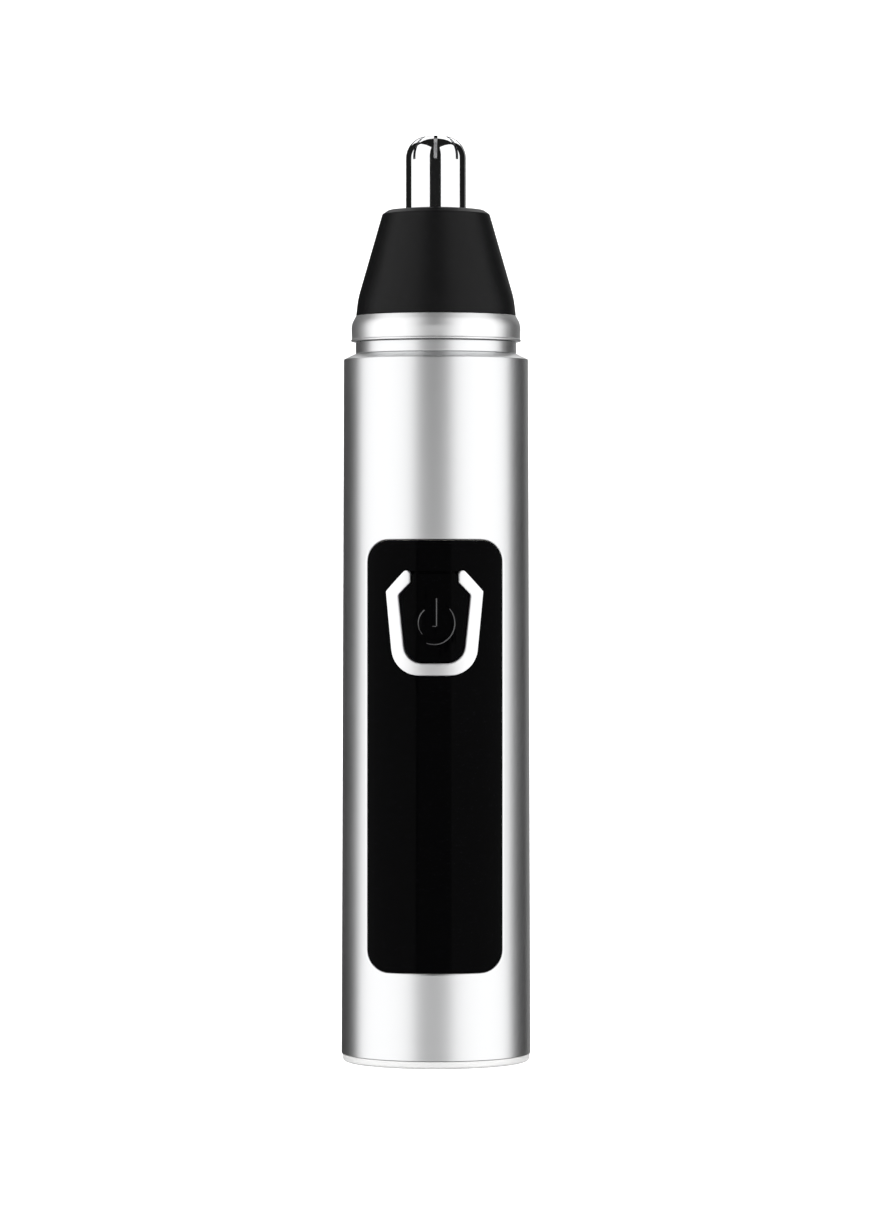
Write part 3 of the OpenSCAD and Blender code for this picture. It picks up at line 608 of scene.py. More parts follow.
def head_ring():
    bm = turned([
        (SEAT_R + 0.04, HEAD_Z, 0.1), (RING_R, HEAD_Z, 0.1), (RING_R, HEAD_Z + 0.2, 0.02),
        (RING_R - 0.12, HEAD_Z + 0.36, 0.03),
        (RING_R - 0.04, RING_TOP - RING_BELT_DROP, RING_CURVE_R),
        (CONE_FOOT_R, RING_TOP, 0.06), (SEAT_R + 0.04, RING_TOP, 0.05),
    ])
    return finish_piece("bright_ring", bm, "head", "head_ring", crisp=50)


cone = head_cone()
chrome_ring = head_ring()

# %% [markdown]
# ## Cutter
# The cutter is a thin drawn tube with a domed end. Hair enters through eight
# slots that run from the wall up over the dome and stop short of its middle.
# The skin is turned first, with a fine dome, because a mirror shows every
# facet. It is then sliced by planes along both sides of every slot, the faces
# inside the slots are taken out, and Solidify gives the skin its thickness.

# %% Build the cutter
CUTTER_WALL = 0.34
DOME_R = 3.15
SLOT_COUNT = 8
SLOT_W = 0.5
SLOT_Z = CUTTER_TOP - 3.5
SLOT_START_R = 1.2


def slice_mesh(bm, faces, point, normal):
    """Cuts the given faces by a plane (point in mm) and returns them with the new ones."""
    edges = {e for f in faces for e in f.edges}
    verts = {v for f in faces for v in f.verts}
    made = bmesh.ops.bisect_plane(
        bm, geom=list(verts) + list(edges) + list(faces), dist=1e-8,
        plane_co=[c * MM for c in point], plane_no=normal,
    )
    return [g for g in made["geom"] if isinstance(g, bmesh.types.BMFace)]


def cutter_shell():
    bm = turned([
        (CUTTER_FOOT_R, CUTTER_FOOT + 0.4, 0), (CUTTER_R, CUTTER_FOOT + 0.4, 0.3),
        (CUTTER_R, CUTTER_TOP, DOME_R), (0, CUTTER_TOP, 0),
    ], closed=False, steps=256, arc_steps=28)
    bmesh.ops.remove_doubles(bm, verts=bm.verts, dist=0.0005 * MM)
    slice_mesh(bm, bm.faces[:], (0, 0, SLOT_Z), (0, 0, 1))
    slots = []
    for i in range(SLOT_COUNT):
        turn = math.tau * i / SLOT_COUNT - math.pi / 2
        along = Vector((math.cos(turn), math.sin(turn), 0))
        across = Vector((-along.y, along.x, 0))
        slots.append((along, across))
        near = [
            f for f in bm.faces
            if f.calc_center_median().z > SLOT_Z * MM and f.calc_center_median().dot(along) > 0
        ]
        for side in (-1, 1):
            near = slice_mesh(bm, near, across * side * SLOT_W / 2, across)
        slice_mesh(bm, near, along * SLOT_START_R, along)
    open_faces = []
    for f in bm.faces:
        middle = f.calc_center_median() / MM
        if middle.z > SLOT_Z and any(
            middle.dot(along) > SLOT_START_R and abs(middle.dot(across)) < SLOT_W / 2
            for along, across in slots
        ):
            open_faces.append(f)
    bmesh.ops.delete(bm, geom=open_faces, context="FACES")
    bmesh.ops.remove_doubles(bm, verts=bm.verts, dist=0.002 * MM)
    look_outwards(bm, lambda middle: middle.xy.length, Vector((0, 0, 1)))
    bmesh.ops.solidify(bm, geom=bm.faces[:], thickness=CUTTER_WALL * MM)
    return finish_piece("cutter", bm, "head", "outer_cutter", crisp=40)


cutter = cutter_shell()

# %% [markdown]
# ## Panel, trim and button
# The long gloss panel sits flush in the tube's window. A bright U rises a
# hair above it round the button. The button is one gloss moulding: a cap with
# the engraved power sign, a thin flange behind the panel that keeps it in,
# and a short stem that reaches the switch.

# %% Outlines of the trim and the button
BUTTON_Z = 62.6
BUTTON_GAP = 0.12
TRIM_PROUD = 0.12
TRIM_DEPTH = 0.7
PANEL_SINK = 0.03
PANEL_T = 1.15
BUTTON_SINK = 0.1
SYMBOL_R = 2.66
SYMBOL_LINE = 0.78
SYMBOL_OPENING = math.radians(32)
SYMBOL_DEPTH = 0.12
BAR_LOW = -0.5
BAR_HIGH = 3.6
FLANGE_BACK = 1.86
FLANGE_T = 0.48
FLANGE_HALF_W = 5.75
FLANGE_LOW = -6.5
FLANGE_HIGH = 7.9
FLANGE_CORNER_R = 1.5
STEM_R = 1.6
STEM_TIP_Y = -11.26
STEM_L = 0.35


def at_button(corners):
    """Corners drawn from the button's middle, moved to its height."""
    return [(a, b + BUTTON_Z, radius) for a, b, radius in corners]


trim_outside = [(5.75, -7.4, 4), (6.86, 4.5, 0.35), (3.95, 7.75, 0.6)]
trim_inside = [(3.37, 7.1, 0.5), (3.37, 5.7, 0.3), (5.05, 3.95, 0.5), (4.05, -5.6, 2.6)]
trim_shape = unrolled(rounded(at_button(mirrored(trim_outside + trim_inside)), steps=10))
trim_hole = unrolled(rounded(at_button(mirrored(trim_outside + [(3.37, 7.25, 0.4)])), steps=10))
button_shape = unrolled(rounded(at_button(mirrored([
    (4.05, -5.6, 2.6), (5.05, 3.95, 0.5), (3.37, 5.7, 0.3), (3.37, 7.25, 0.8),
])), steps=10))


def symbol_outlines():
    """The power sign: an open ring and an upright bar."""
    start = math.pi / 2 - SYMBOL_OPENING
    sweep = math.tau - 2 * SYMBOL_OPENING
    steps = 56

    def arc(radius, backwards=False):
        turns = [start - sweep * i / steps for i in range(steps + 1)]
        if backwards:
            turns.reverse()
        return [
            Vector((radius * math.cos(a), BUTTON_Z + radius * math.sin(a))) for a in turns
        ]

    half = SYMBOL_LINE / 2
    bar = rounded(
        at_button(mirrored([(half, BAR_LOW, 0.1), (half, BAR_HIGH, 0.1)])), steps=3,
    )
    return arc(SYMBOL_R + half) + arc(SYMBOL_R - half, backwards=True), bar


# %% Build the panel, the trim and the button
STRIP = 0.35


def rolled_piece(bm, reach):
    """Slices a flat piece into strips and bends it round the tube."""
    bmesh.ops.remove_doubles(bm, verts=bm.verts, dist=0.0005 * MM)
    cut_into_strips(bm, STRIP, reach)
    drop_slanted_edges(bm)
    roll_on_wall(bm)
    return bm


def front_panel():
    outer = unrolled(panel_outline(-0.04))
    hole = grown(trim_hole, 0.03)
    bm = rolled_piece(plate(outer, [hole], PANEL_SINK, PANEL_T, 0.1), 11)
    return finish_piece("gloss_panel", bm, "housing", "front_panel")


def bright_u():
    bm = plate(grown(trim_shape, -0.02), [], -TRIM_PROUD, TRIM_DEPTH, 0.14)
    return finish_piece("bright_u", rolled_piece(bm, 8), "housing", "u_trim")


def push_button():
    engraved = [(outline, SYMBOL_DEPTH) for outline in symbol_outlines()]
    bm = plate(
        grown(button_shape, -BUTTON_GAP), [], BUTTON_SINK, 1.4, 0.1, engraved, draft=0.25,
    )
    rolled_piece(bm, 7)
    flange = rounded(at_button(mirrored([
        (FLANGE_HALF_W, FLANGE_LOW, FLANGE_CORNER_R),
        (FLANGE_HALF_W, FLANGE_HIGH, FLANGE_CORNER_R),
    ])))
    join_in(bm, rolled_piece(
        plate(flange, [], FLANGE_BACK - FLANGE_T, FLANGE_BACK, 0.08), 7,
    ))
    middle = Vector((0, STEM_TIP_Y - STEM_L / 2, BUTTON_Z)) * MM
    bmesh.ops.create_cone(
        bm, cap_ends=True, segments=48, radius1=STEM_R * MM, radius2=STEM_R * MM,
        depth=STEM_L * MM,
        matrix=Matrix.Translation(middle) @ Matrix.Rotation(math.pi / 2, 4, "X"),
    )
    return finish_piece("push_button", bm, "power_button", "power_button")


panel = front_panel()
trim = bright_u()
button = push_button()

# %% [markdown]
# # Finishes
# Every finish is built from shader nodes, so it holds up close. Two small
# classes keep that readable. A Signal is a value that varies over the
# surface, and it can be used in a formula. A Finish is one material with its
# shader, and it makes the nodes that feed it. All patterns are laid out in
# millimetres on the piece itself.


# %% Signal and Finish
class Signal:
    """A shader value that varies over a surface."""

    def __init__(self, tree, socket):
        self.tree = tree
        self.socket = socket

    def math(self, operation, *values):
        node = self.tree.nodes.new("ShaderNodeMath")
        node.operation = operation
        for slot, value in zip(node.inputs, values):
            if isinstance(value, Signal):
                self.tree.links.new(value.socket, slot)
            else:
                slot.default_value = value
        return Signal(self.tree, node.outputs[0])

    def __add__(self, other):
        return self.math("ADD", self, other)

    def __radd__(self, other):
        return self.math("ADD", other, self)

    def __sub__(self, other):
        return self.math("SUBTRACT", self, other)

    def __rsub__(self, other):
        return self.math("SUBTRACT", other, self)

    def __mul__(self, other):
        return self.math("MULTIPLY", self, other)

    def __rmul__(self, other):
        return self.math("MULTIPLY", other, self)

    def __lt__(self, edge):
        return self.math("LESS_THAN", self, edge)


class Finish:
    """A material: one Principled shader and the nodes that feed it."""

    def __init__(self, name, constants):
        self.material = bpy.data.materials.new(name)
        self.material.use_nodes = True
        self.tree = self.material.node_tree
        self.shader = self.tree.nodes["Principled BSDF"]
        for socket, value in constants.items():
            self.shader.inputs[socket].default_value = value
        metres = self.node("TexCoord", output="Object")
        self.place = self.node(
            "VectorMath", {"operation": "MULTIPLY"}, {0: metres, 1: (1 / MM, 1 / MM, 1 / MM)}
        )

    def node(self, kind, settings=None, inputs=None, output=0):
        """Makes any node: its type, its settings, then its inputs by name or number."""
        made = self.tree.nodes.new("ShaderNode" + kind)
        for key, value in (settings or {}).items():
            setattr(made, key, value)
        for key, value in (inputs or {}).items():
            if isinstance(value, Signal):
                self.tree.links.new(value.socket, made.inputs[key])
            else:
                made.inputs[key].default_value = value
        return Signal(self.tree, made.outputs[output])

    def feed(self, socket, signal):
        self.tree.links.new(signal.socket, self.shader.inputs[socket])

    def axis(self, name):
        return self.node("SeparateXYZ", inputs={0: self.place}, output=name)

    def radius(self):
        """Distance from the trimmer's axis, in mm."""
        flat = self.node(
            "VectorMath", {"operation": "MULTIPLY"}, {0: self.place, 1: (1, 1, 0)}
        )
        return self.node("VectorMath", {"operation": "LENGTH"}, {0: flat}, output="Value")

    def noise(self, per_mm, detail=2, stretch=(1, 1, 1)):
        """Soft noise around 0.5. Stretch packs it tighter along an axis."""
        spot = self.node(
            "VectorMath", {"operation": "MULTIPLY"}, {0: self.place, 1: stretch}
        )
        return self.node(
            "TexNoise", inputs={"Vector": spot, "Scale": per_mm, "Detail": detail}
        )

    def cells(self, per_mm, feature="F1", distance="EUCLIDEAN", output="Distance"):
        return self.node(
            "TexVoronoi", {"feature": feature, "distance": distance},
            {"Vector": self.place, "Scale": per_mm}, output,
        )

    def curve(self, signal, low, high):
        """Zero below low, one above high and a soft step between."""
        return self.node(
            "MapRange", {"interpolation_type": "SMOOTHSTEP"},
            {"Value": signal, "From Min": low, "From Max": high},
        )

    def blend(self, mask, first, second):
        """Mixes two colours by a mask."""
        colours = [c if isinstance(c, Signal) else (*c, 1) for c in (first, second)]
        return self.node(
            "Mix", {"data_type": "RGBA"}, {0: mask, 6: colours[0], 7: colours[1]}, 2
        )

    def bump(self, height, strength, depth):
        """Feeds the surface normal from a height signal; depth in mm."""
        normal = self.node(
            "Bump", inputs={"Height": height, "Strength": strength, "Distance": depth * MM}
        )
        self.feed("Normal", normal)

    def wear_lines(self, share=0.56):
        """Sparse hairline scratches: thin bands of stretched noise, in patches."""
        lines = self.noise(2.2, 1, (0.25, 1.7, 7))
        patches = self.noise(0.12, 1)
        thin = self.curve(lines, 0.66, 0.7)
        return thin * self.curve(patches, share, share + 0.1)


def put_on(pieces, finish):
    """Gives pieces or CAD nodes a finish."""
    for piece in pieces:
        mesh = piece.data
        marked = [face.material_index for face in mesh.polygons]
        mesh.materials.clear()
        mesh.materials.append(finish.material)
        mesh.polygons.foreach_set("material_index", marked)
    print(f"{finish.material.name}: {', '.join(piece.name for piece in pieces)}")


def nodes(*names):
    """CAD nodes by name."""
    return [NODES[name] for name in names]


def shade(colour, share):
    """A darker or lighter shade of a colour."""
    return tuple(c * share for c in colour)


# %% [markdown]
# ## Outer metals
# The tube and neck are aluminium, blasted to a fine even grain and clear
# anodised: satin, with a soft blur and very little mark. The base is a
# paler, painted moulding. The ring and the U are chromed over a fine satin, so
# they are brighter than the tube but still soft. The cutter is stainless
# steel, turned and buffed bright, with the faintest rings round its axis.


# %% Make the outer metals
def blasted(name, colour, roughness, grain):
    """Satin blasted metal: a fine even grain and very soft cloudy variation."""
    f = Finish(name, {"Metallic": 1.0})
    clouds = f.noise(0.06, 2)
    speck = f.noise(14, 2)
    wear = f.wear_lines()
    dark = shade(colour, 0.975)
    f.feed("Base Color", f.blend(clouds, dark, colour))
    f.feed("Roughness", roughness + (clouds - 0.5) * 0.03 + (speck - 0.5) * 0.05 + wear * 0.03)
    f.bump(speck + wear * 0.3, grain, 0.0012)
    return f


def painted_silver(name, colour):
    """Pale silver paint on plastic: half metallic, with fine flakes and rubbed spots."""
    f = Finish(name, {"IOR": 1.5, "Coat Weight": 0.15, "Coat Roughness": 0.3})
    flakes = f.cells(9)
    clouds = f.noise(0.12, 2)
    rubbed = f.curve(f.noise(0.7, 4), 0.6, 0.75)
    dark = shade(colour, 0.93)
    f.feed("Base Color", f.blend(flakes * 0.5 + clouds * 0.5, colour, dark))
    f.feed("Metallic", 0.5 - flakes * 0.15)
    f.feed("Roughness", 0.5 - rubbed * 0.12 + clouds * 0.05)
    f.bump(flakes, 0.3, 0.002)
    return f


def polished(name, colour, roughness, rings):
    """Bright buffed metal with faint rings left by turning."""
    f = Finish(name, {"Metallic": 1.0})
    clouds = f.noise(0.25, 2)
    turning = f.noise(1.0, 3, (0.15, 0.15, 9))
    wear = f.wear_lines(0.5)
    dark = shade(colour, 0.95)
    f.feed("Base Color", f.blend(clouds, dark, colour))
    f.feed("Roughness", roughness + (turning - 0.5) * 0.04 + (clouds - 0.5) * 0.02 + wear * 0.06)
    f.bump(turning + wear * 0.3, rings, 0.0012)
    return f


put_on([tube, neck], blasted("satin_aluminium", (0.86, 0.865, 0.87), 0.352, 0.5))
put_on([base], painted_silver("pale_base", (0.69, 0.69, 0.685)))
put_on([chrome_ring, trim], blasted("bright_satin_chrome", (0.96, 0.962, 0.965), 0.4, 0.4))
put_on([cutter], polished("cutter_steel_finish", (0.9, 0.905, 0.91), 0.06, 0.25))

# %% [markdown]
# ## Outer plastics
# The cone is matt black ABS from a spark-eroded mould, with a fine even
# texture. The panel and the button are piano black: a deep gloss over black,
# where only tiny ripples, dust-fine haze and a few hairlines show. The walls
# of the engraved sign that look up and left get a dull grey finish, a painted
# highlight: the thin grey line where light catches them.


# %% Make the outer plastics
def spark_textured(name, colour, roughness, texture=0.5):
    """Moulded plastic with the pebbled skin of a spark-eroded mould."""
    f = Finish(name, {"IOR": 1.5, "Specular IOR Level": 0.16})
    pebble = f.cells(5.5) + f.noise(11, 2) * 0.6
    clouds = f.noise(0.2, 3)
    rubbed = f.curve(f.noise(0.5, 4), 0.58, 0.75)
    light = shade(colour, 1.5)
    f.feed("Base Color", f.blend(clouds, colour, light))
    f.feed("Roughness", roughness + (clouds - 0.5) * 0.08 - rubbed * 0.05)
    f.bump(pebble, texture, 0.006)
    return f


def piano_black(name):
    """Deep gloss black: slow ripples of the moulding and a little fine haze."""
    f = Finish(name, {"IOR": 1.5, "Specular IOR Level": 0.025})
    ripple = f.noise(0.35, 1)
    haze = f.noise(3, 4)
    wear = f.wear_lines(0.58)
    f.feed("Base Color", f.blend(haze, (0.0002, 0.0002, 0.0003), (0.0005, 0.0005, 0.0006)))
    f.feed("Roughness", 0.05 + haze * 0.05 + wear * 0.12)
    f.bump(ripple + wear * 0.05, 0.15, 0.02)
    return f


def engraving_painted_highlight(name):
    """The wide walls of the engraving: a grey painted highlight, dull, with tool marks."""
    f = Finish(name, {"IOR": 1.5})
    marks = f.noise(4, 3)
    # Painted highlight: a grey colour on the walls that face the light, varied by tool marks.
    f.feed("Base Color", f.blend(marks, (0.026, 0.026, 0.026), (0.05, 0.05, 0.052)))
    f.feed("Roughness", 0.3 + marks * 0.2)
    f.bump(marks, 0.3, 0.01)
    return f


put_on([cone], spark_textured("cone_black", (0.0022, 0.0022, 0.0024), 0.4))
put_on([panel, button], piano_black("piano_black_finish"))
# The engraving's wide walls carry the grey painted highlight.
button.data.materials.append(engraving_painted_highlight("engraved_edge_painted_highlight").material)

# %% [markdown]
# ## Steels inside
# Screws, shaft, spring and motor can are steel in different states: turned,
# ground, drawn and plated. The motor's core is a stack of thin sheets, so it
# is striped along the axis. Its magnets are dark sintered ferrite.


# %% Make the inner metals
def plated(name, colour, roughness, stain=0.1):
    """Plated or drawn metal with cloudy staining and short rubbed marks."""
    f = Finish(name, {"Metallic": 1.0})
    clouds = f.noise(0.5, 4)
    drawn = f.noise(2, 3, (1, 1, 0.15))
    wear = f.wear_lines(0.45)
    dark = shade(colour, 1 - stain * 2.5)
    f.feed("Base Color", f.blend(f.curve(clouds, 0.35, 0.65), dark, colour))
    f.feed("Roughness", roughness + (clouds - 0.5) * 0.15 + wear * 0.1)
    f.bump(drawn + wear * 0.4, 0.3, 0.004)
    return f


def stacked_sheets(name, colour):
    """Thin stamped sheets pressed into a block: dark gaps between bright edges."""
    f = Finish(name, {"Metallic": 1.0})
    height = f.axis("Z") * (math.tau / 0.35)
    sheet = f.curve(height.math("SINE", height), -0.6, 0.4)
    stain = f.noise(0.6, 4)
    f.feed("Base Color", f.blend(sheet * stain, shade(colour, 0.3), colour))
    f.feed("Roughness", 0.55 - sheet * 0.2 + stain * 0.1)
    f.bump(sheet, 0.6, 0.02)
    return f


def sintered(name, colour):
    """Pressed and fired magnet: dark, granular and slightly glossy."""
    f = Finish(name, {"Metallic": 0.3})
    grain = f.cells(4)
    clouds = f.noise(0.8, 4)
    f.feed("Base Color", f.blend(grain, colour, shade(colour, 1.8)))
    f.feed("Roughness", 0.45 + clouds * 0.25)
    f.bump(grain + clouds, 0.5, 0.02)
    return f


put_on(
    nodes("base_screws", "collar_screws", "board_screws"),
    plated("screw_black_oxide", (0.35, 0.35, 0.36), 0.32),
)
put_on(nodes("inner_cutter"), polished("ground_blade", (0.92, 0.92, 0.93), 0.62, 0.4))
put_on(nodes("motor_can"), plated("can_zinc", (0.72, 0.72, 0.7), 0.3, 0.06))
put_on(nodes("motor_shaft", "blade_spring"), plated("drawn_steel", (0.62, 0.61, 0.6), 0.22, 0.08))
put_on(nodes("inlet_shell"), plated("inlet_steel", (0.7, 0.7, 0.68), 0.25, 0.06))
put_on(nodes("battery_tabs"), plated("nickel_strip", (0.68, 0.65, 0.58), 0.28, 0.08))
put_on(nodes("armature_core"), stacked_sheets("core_sheets", (0.4, 0.41, 0.43)))
put_on(nodes("motor_magnets"), sintered("ferrite", (0.03, 0.03, 0.033)))

# %% [markdown]
# ## Copper and bronze
# The bushings are porous sintered bronze, soaked with oil. The windings are
# fine enamelled wire, laid turn on turn round each pole. The commutator is
# bare copper, polished by its brushes.


# %% Make the copper parts
def oily_bronze(name):
    """Porous bronze: small dark pores and a wet sheen in patches."""
    f = Finish(name, {"Metallic": 1.0})
    pores = f.curve(f.cells(5), 0.12, 0.3)
    oil = f.noise(0.7, 3)
    f.feed("Base Color", f.blend(pores, (0.16, 0.08, 0.03), (0.62, 0.38, 0.16)))
    f.feed("Roughness", 0.5 - oil * 0.3)
    f.bump(pores, 0.5, 0.01)
    return f


def wound_wire(name):
    """Enamelled wire, one turn beside the next, out along each pole, with painted shade in the
    groove between turns.
    """
    f = Finish(name, {"Metallic": 0.85, "Coat Weight": 0.4})
    wander = f.noise(1.2, 2)
    turns = (f.radius() + wander * 0.12) * (math.tau / 0.22)
    wire = turns.math("SINE", turns)
    groove = f.curve(wire, -0.9, 0.1)
    # Painted shade: the copper colour goes dark in the groove between turns.
    f.feed("Base Color", f.blend(groove, (0.1, 0.02, 0.006), (0.72, 0.24, 0.08)))
    f.feed("Roughness", 0.42 - groove * 0.15)
    f.bump(wire, 0.8, 0.05)
    return f


def brushed_copper(name):
    """Bare copper with rubbed tracks round the axis and a darker tarnish."""
    f = Finish(name, {"Metallic": 1.0})
    tracks = f.noise(1.5, 3, (0.2, 0.2, 6))
    tarnish = f.curve(f.noise(0.8, 4), 0.4, 0.7)
    f.feed("Base Color", f.blend(tarnish, (0.82, 0.36, 0.18), (0.4, 0.14, 0.07)))
    f.feed("Roughness", 0.25 + tarnish * 0.25 + (tracks - 0.5) * 0.2)
    f.bump(tracks, 0.4, 0.006)
    return f


put_on(nodes("front_bushing", "rear_bushing"), oily_bronze("oil_bronze"))
put_on(nodes("armature_windings"), wound_wire("enamelled_wire"))
put_on(nodes("commutator", "motor_brushes"), brushed_copper("bare_copper"))

# %% [markdown]
# ## Plastics and rubber inside
# The frame and mounts are plain moulded nylon and acetal with a dull skin
# and faint flow marks. The rubber ring and damper are matt, with a dusty
# bloom. The cell's foam is an open sponge.


# %% Make the inner plastics
def moulded(name, colour, roughness):
    """Plain moulded plastic: slow flow marks and a fine dull skin."""
    f = Finish(name, {"IOR": 1.5})
    flow = f.noise(0.25, 3, (1, 1, 0.4))
    skin = f.noise(7, 3)
    rubbed = f.curve(f.noise(0.6, 4), 0.55, 0.7)
    dark = shade(colour, 0.86)
    f.feed("Base Color", f.blend(flow, dark, colour))
    f.feed("Roughness", roughness + (skin - 0.5) * 0.1 - rubbed * 0.08)
    f.bump(skin + flow, 0.35, 0.006)
    return f


def bloomed_rubber(name):
    """Matt rubber with a pale bloom in patches and a fine tooth."""
    f = Finish(name, {"IOR": 1.45})
    bloom = f.curve(f.noise(0.7, 4), 0.45, 0.75)
    tooth = f.noise(10, 2)
    f.feed("Base Color", f.blend(bloom, (0.012, 0.012, 0.012), (0.035, 0.034, 0.032)))
    f.feed("Roughness", 0.62 + bloom * 0.2)
    f.bump(tooth, 0.5, 0.008)
    return f


def sponge(name):
    """Open foam: round pores of two sizes, darkened with painted shade."""
    f = Finish(name, {"Roughness": 0.9})
    pores = f.cells(1.6) * 0.6 + f.cells(3.4) * 0.4
    # Painted shade: the pores are dark, and the foam between them is paler.
    pore_shade_mask = f.curve(pores, 0.1, 0.5)
    f.feed("Base Color", f.blend(pore_shade_mask, (0.012, 0.012, 0.014), (0.09, 0.09, 0.1)))
    f.bump(pores, 1.0, 0.15)
    return f


put_on(nodes("frame_front", "frame_rear"), moulded("frame_nylon", (0.62, 0.6, 0.54), 0.5))
put_on(
    nodes("motor_mount", "cutter_retainer", "blade_spindle", "switch_body", "inlet_tongue"),
    moulded("dark_nylon", (0.035, 0.036, 0.04), 0.45),
)
put_on(
    nodes("drive_coupling", "motor_end_bell", "switch_plunger"),
    moulded("white_acetal", (0.78, 0.77, 0.73), 0.38),
)
put_on(nodes("neck_o_ring", "motor_damper"), bloomed_rubber("black_rubber_finish"))
put_on(nodes("battery_foam"), sponge("cell_foam"))

# %% [markdown]
# ## Electronics
# The circuit board is green lacquer over copper tracks, with tinned pads.
# The chips are black epoxy with a small round mould mark. The cell wears a
# shrink sleeve over its steel can, and only its two ends are bare metal. The
# wires have soft, slightly glossy insulation.


# %% Make the electronics
def lacquered_board(name):
    """Green lacquer with raised tracks in a square layout, and tinned dots."""
    f = Finish(name, {"IOR": 1.5, "Coat Weight": 0.5, "Coat Roughness": 0.15})
    edges = f.cells(0.45, "DISTANCE_TO_EDGE", output="Distance")
    track = f.curve(edges, 0.1, 0.13)
    dots = f.cells(0.8) < 0.14
    weave = f.noise(3, 2)
    green = f.blend(track, (0.012, 0.11, 0.04), (0.004, 0.045, 0.018))
    f.feed("Base Color", f.blend(dots, green, (0.75, 0.74, 0.7)))
    f.feed("Metallic", dots * 0.9)
    f.feed("Roughness", 0.35 - dots * 0.1 + (weave - 0.5) * 0.1)
    f.bump(1 - track + weave * 0.2, 0.5, 0.02)
    return f


def chip_epoxy(name):
    """Black filled epoxy: a sandy skin with a few paler mould marks."""
    f = Finish(name, {"IOR": 1.5})
    sand = f.noise(12, 2)
    marks = f.cells(0.5) < 0.12
    f.feed("Base Color", f.blend(marks, (0.012, 0.012, 0.013), (0.035, 0.035, 0.036)))
    f.feed("Roughness", 0.55 + (sand - 0.5) * 0.2 - marks * 0.25)
    f.bump(sand - marks * 0.6, 0.5, 0.01)
    return f


def sleeved_cell(name):
    """A shrink sleeve, wrinkled at its ends, over a steel can with bare ends."""
    low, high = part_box("battery_cell")
    f = Finish(name, {"IOR": 1.5})
    middle = (low.z + high.z) / 2 / MM
    half = (high.z - low.z) / 2 / MM
    from_middle = f.axis("Z") - middle
    reach = from_middle.math("ABSOLUTE", from_middle)
    bare = f.curve(reach, half - 0.75, half - 0.6)
    wrinkle = f.noise(0.6, 3, (1.6, 1.6, 0.3)) * f.curve(reach, half - 8, half - 1)
    band = f.curve(reach, half - 6.1, half - 6)
    sleeve = f.blend(band, (0.02, 0.2, 0.13), (0.55, 0.56, 0.52))
    f.feed("Base Color", f.blend(bare, sleeve, (0.66, 0.65, 0.62)))
    f.feed("Metallic", bare)
    f.feed("Roughness", 0.3 + f.noise(0.8, 3) * 0.12)
    f.bump(wrinkle + f.noise(4, 2) * 0.05, 0.6, 0.08)
    return f


def insulated(name, colour):
    """Soft wire insulation with a slight gloss and scuffs."""
    f = Finish(name, {"IOR": 1.5, "Coat Weight": 0.2})
    scuff = f.curve(f.noise(1.2, 4), 0.5, 0.7)
    f.feed("Base Color", f.blend(scuff, colour, tuple(c * 0.7 + 0.01 for c in colour)))
    f.feed("Roughness", 0.32 + scuff * 0.2)
    f.bump(f.noise(2.5, 3), 0.3, 0.02)
    return f


put_on(nodes("circuit_board"), lacquered_board("board_lacquer"))
put_on(nodes("board_components"), chip_epoxy("chip_epoxy_finish"))
put_on(nodes("battery_cell"), sleeved_cell("cell_sleeve"))
put_on(
    nodes("battery_wire_red", "motor_wire_red"),
    insulated("wire_insulation_red", (0.5, 0.02, 0.015)),
)
put_on(
    nodes("battery_wire_black", "motor_wire_black"),
    insulated("wire_insulation_black", (0.014, 0.014, 0.015)),
)

# %% [markdown]
# # Studio
# The trimmer stands on a plain white sweep that runs up into a round wall.
# Two tall soft boxes stand to the left and right of the camera with a dark
# gap between them. That gap is the grey stripe down the middle of the
# metal. Two weak strips behind it lift the edges. A soft panel high behind
# the trimmer lights the top of the dome, and a low fill in front keeps the
# grey stripe from going dark.

# %% Build the sweep
SWEEP_R = 2000
SWEEP_CURVE = 600
SWEEP_TOP = 2600


def studio_sweep():
    bm = turned([
        (0, 0, 0), (SWEEP_R, 0, SWEEP_CURVE), (SWEEP_R, SWEEP_TOP, 0),
    ], closed=False, steps=96)
    bmesh.ops.remove_doubles(bm, verts=bm.verts, dist=0.01 * MM)
    look_outwards(bm, lambda middle: -middle.z, Vector((0, 0, 1)))
    mesh = bpy.data.meshes.new("studio_sweep")
    bm.to_mesh(mesh)
    bm.free()
    mesh.shade_smooth()
    sweep = bpy.data.objects.new("studio_sweep", mesh)
    bpy.context.scene.collection.objects.link(sweep)
    sweep.visible_glossy = False
    f = Finish("sweep_paper", {
        "Roughness": 0.9, "Specular IOR Level": 0.1, "Emission Strength": 1.0,
    })
    fibre = f.noise(0.4, 4)
    f.feed("Base Color", f.blend(fibre, (0.8, 0.8, 0.8), (0.82, 0.82, 0.82)))
    f.feed("Emission Color", f.blend(fibre, (0.6, 0.6, 0.6), (0.62, 0.62, 0.62)))
    f.bump(fibre, 0.1, 0.05)
    mesh.materials.append(f.material)
    return sweep


studio_sweep()

# %% [markdown]
# ## Lights
# Each soft box is a rectangle that faces the trimmer. It is placed by the
# angles of its two edges, seen from the trimmer and measured from the
# camera, because those angles decide where its reflection falls on a round
# body.

# %% Place the lights
CAMERA_TURN = math.radians(1.0)
BOX_LOW = -0.3
BOX_HIGH = 0.95
BOX_DISTANCE = 0.5
STRIP_DISTANCE = 0.6
AIR_GREY = 0.012


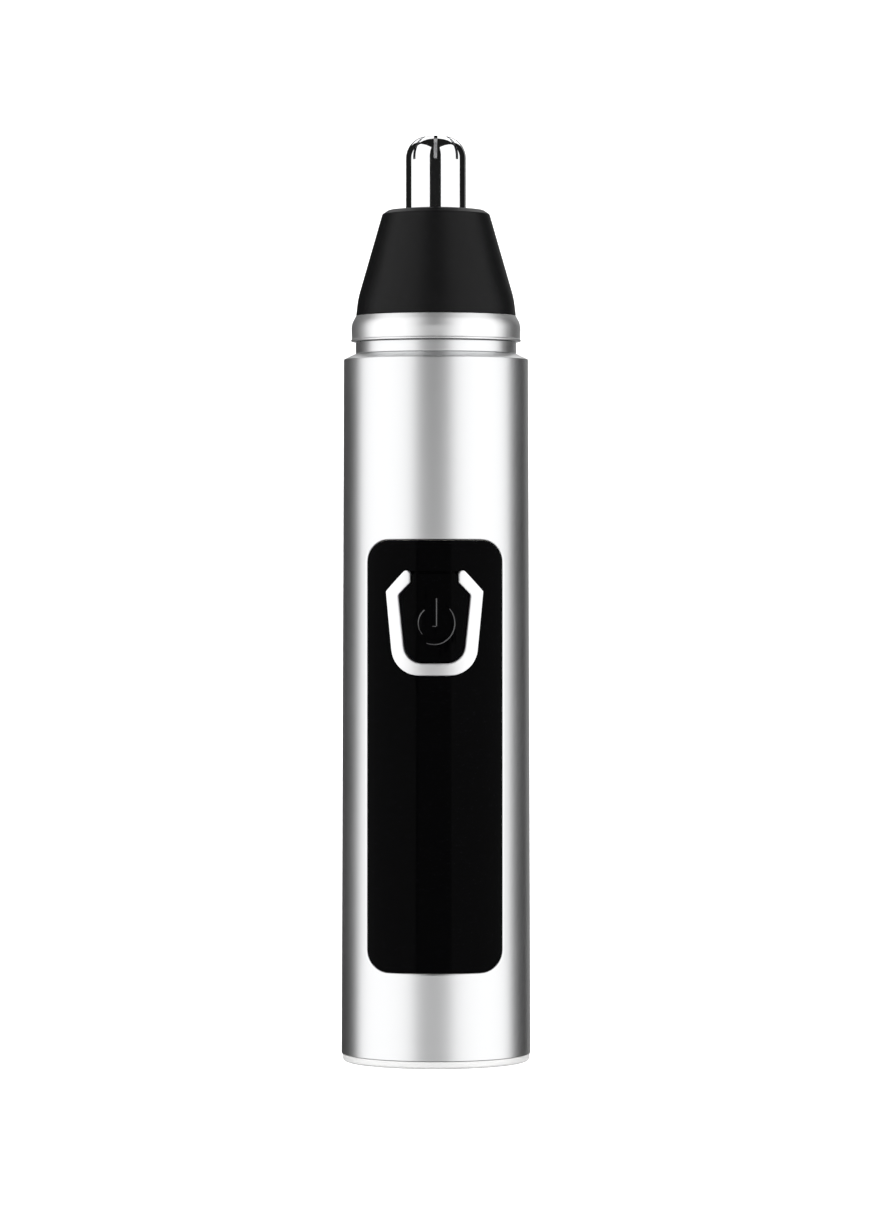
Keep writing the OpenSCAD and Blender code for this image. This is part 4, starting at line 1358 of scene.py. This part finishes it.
def area_light(name, place, target, width, height, glow):
    """A rectangular soft light of a given brightness, aimed at a point."""
    lamp = bpy.data.lights.new(name, "AREA")
    lamp.shape = "RECTANGLE"
    lamp.size = width
    lamp.size_y = height
    lamp.energy = glow * math.pi * width * height
    holder = bpy.data.objects.new(name, lamp)
    holder.location = place
    holder.rotation_euler = (Vector(place) - Vector(target)).to_track_quat("Z", "Y").to_euler()
    holder.visible_camera = False
    bpy.context.scene.collection.objects.link(holder)
    print(f"{name}: {width:.2f} x {height:.2f} m, {lamp.energy:.2f} W")


def soft_box(name, first, last, distance, glow):
    """A tall box that spans two angles, in degrees from the camera."""
    middle = math.radians((first + last) / 2) + CAMERA_TURN
    half = math.radians((last - first) / 2)
    centre_z = (BOX_LOW + BOX_HIGH) / 2
    place = (distance * math.sin(middle), -distance * math.cos(middle), centre_z)
    width = 2 * distance * math.tan(half)
    area_light(name, place, (0, 0, centre_z), width, BOX_HIGH - BOX_LOW, glow)


soft_box("left_box", -109, -24, BOX_DISTANCE, 1.25)
soft_box("right_box", 19, 103, BOX_DISTANCE, 1.25)
soft_box("left_rim_strip", -180, -155, STRIP_DISTANCE, 0.05)
soft_box("right_rim_strip", 146, 180, STRIP_DISTANCE, 0.3)
area_light("front_fill", (0, -0.9, -0.16), (0, 0, -0.16), 0.7, 0.58, 0.58)
area_light("top_panel", (0, 0.8, 0.9), (0, 0.2, 0), 1.3, 0.8, 1.2)

world = bpy.data.worlds.new("studio_air")
world.use_nodes = True
air = world.node_tree.nodes["Background"].inputs["Color"]
air.default_value = (AIR_GREY, AIR_GREY, AIR_GREY, 1)
bpy.context.scene.world = world

# %% [markdown]
# ## Camera
# A long lens, level with the middle of the trimmer, looks straight at its
# front from about seventy centimetres. Plain display colours keep the white
# clean and the blacks deep.

# %% Place the camera
CAMERA_DISTANCE = 0.714
CAMERA_HEIGHT = 0.0729
AIM_HEIGHT = 0.0651
LENS = 148.9
SENSOR = 36

camera_data = bpy.data.cameras.new("camera")
camera_data.lens = LENS
camera_data.sensor_width = SENSOR
camera_data.clip_start = 0.01
camera_data.clip_end = 20
camera = bpy.data.objects.new("camera", camera_data)
camera.location = (
    CAMERA_DISTANCE * math.sin(CAMERA_TURN), -CAMERA_DISTANCE * math.cos(CAMERA_TURN),
    CAMERA_HEIGHT,
)
camera.rotation_euler = (
    (camera.location - Vector((0, 0, AIM_HEIGHT))).to_track_quat("Z", "Y").to_euler()
)
bpy.context.scene.collection.objects.link(camera)
bpy.context.scene.camera = camera
bpy.context.scene.view_settings.view_transform = "Standard"
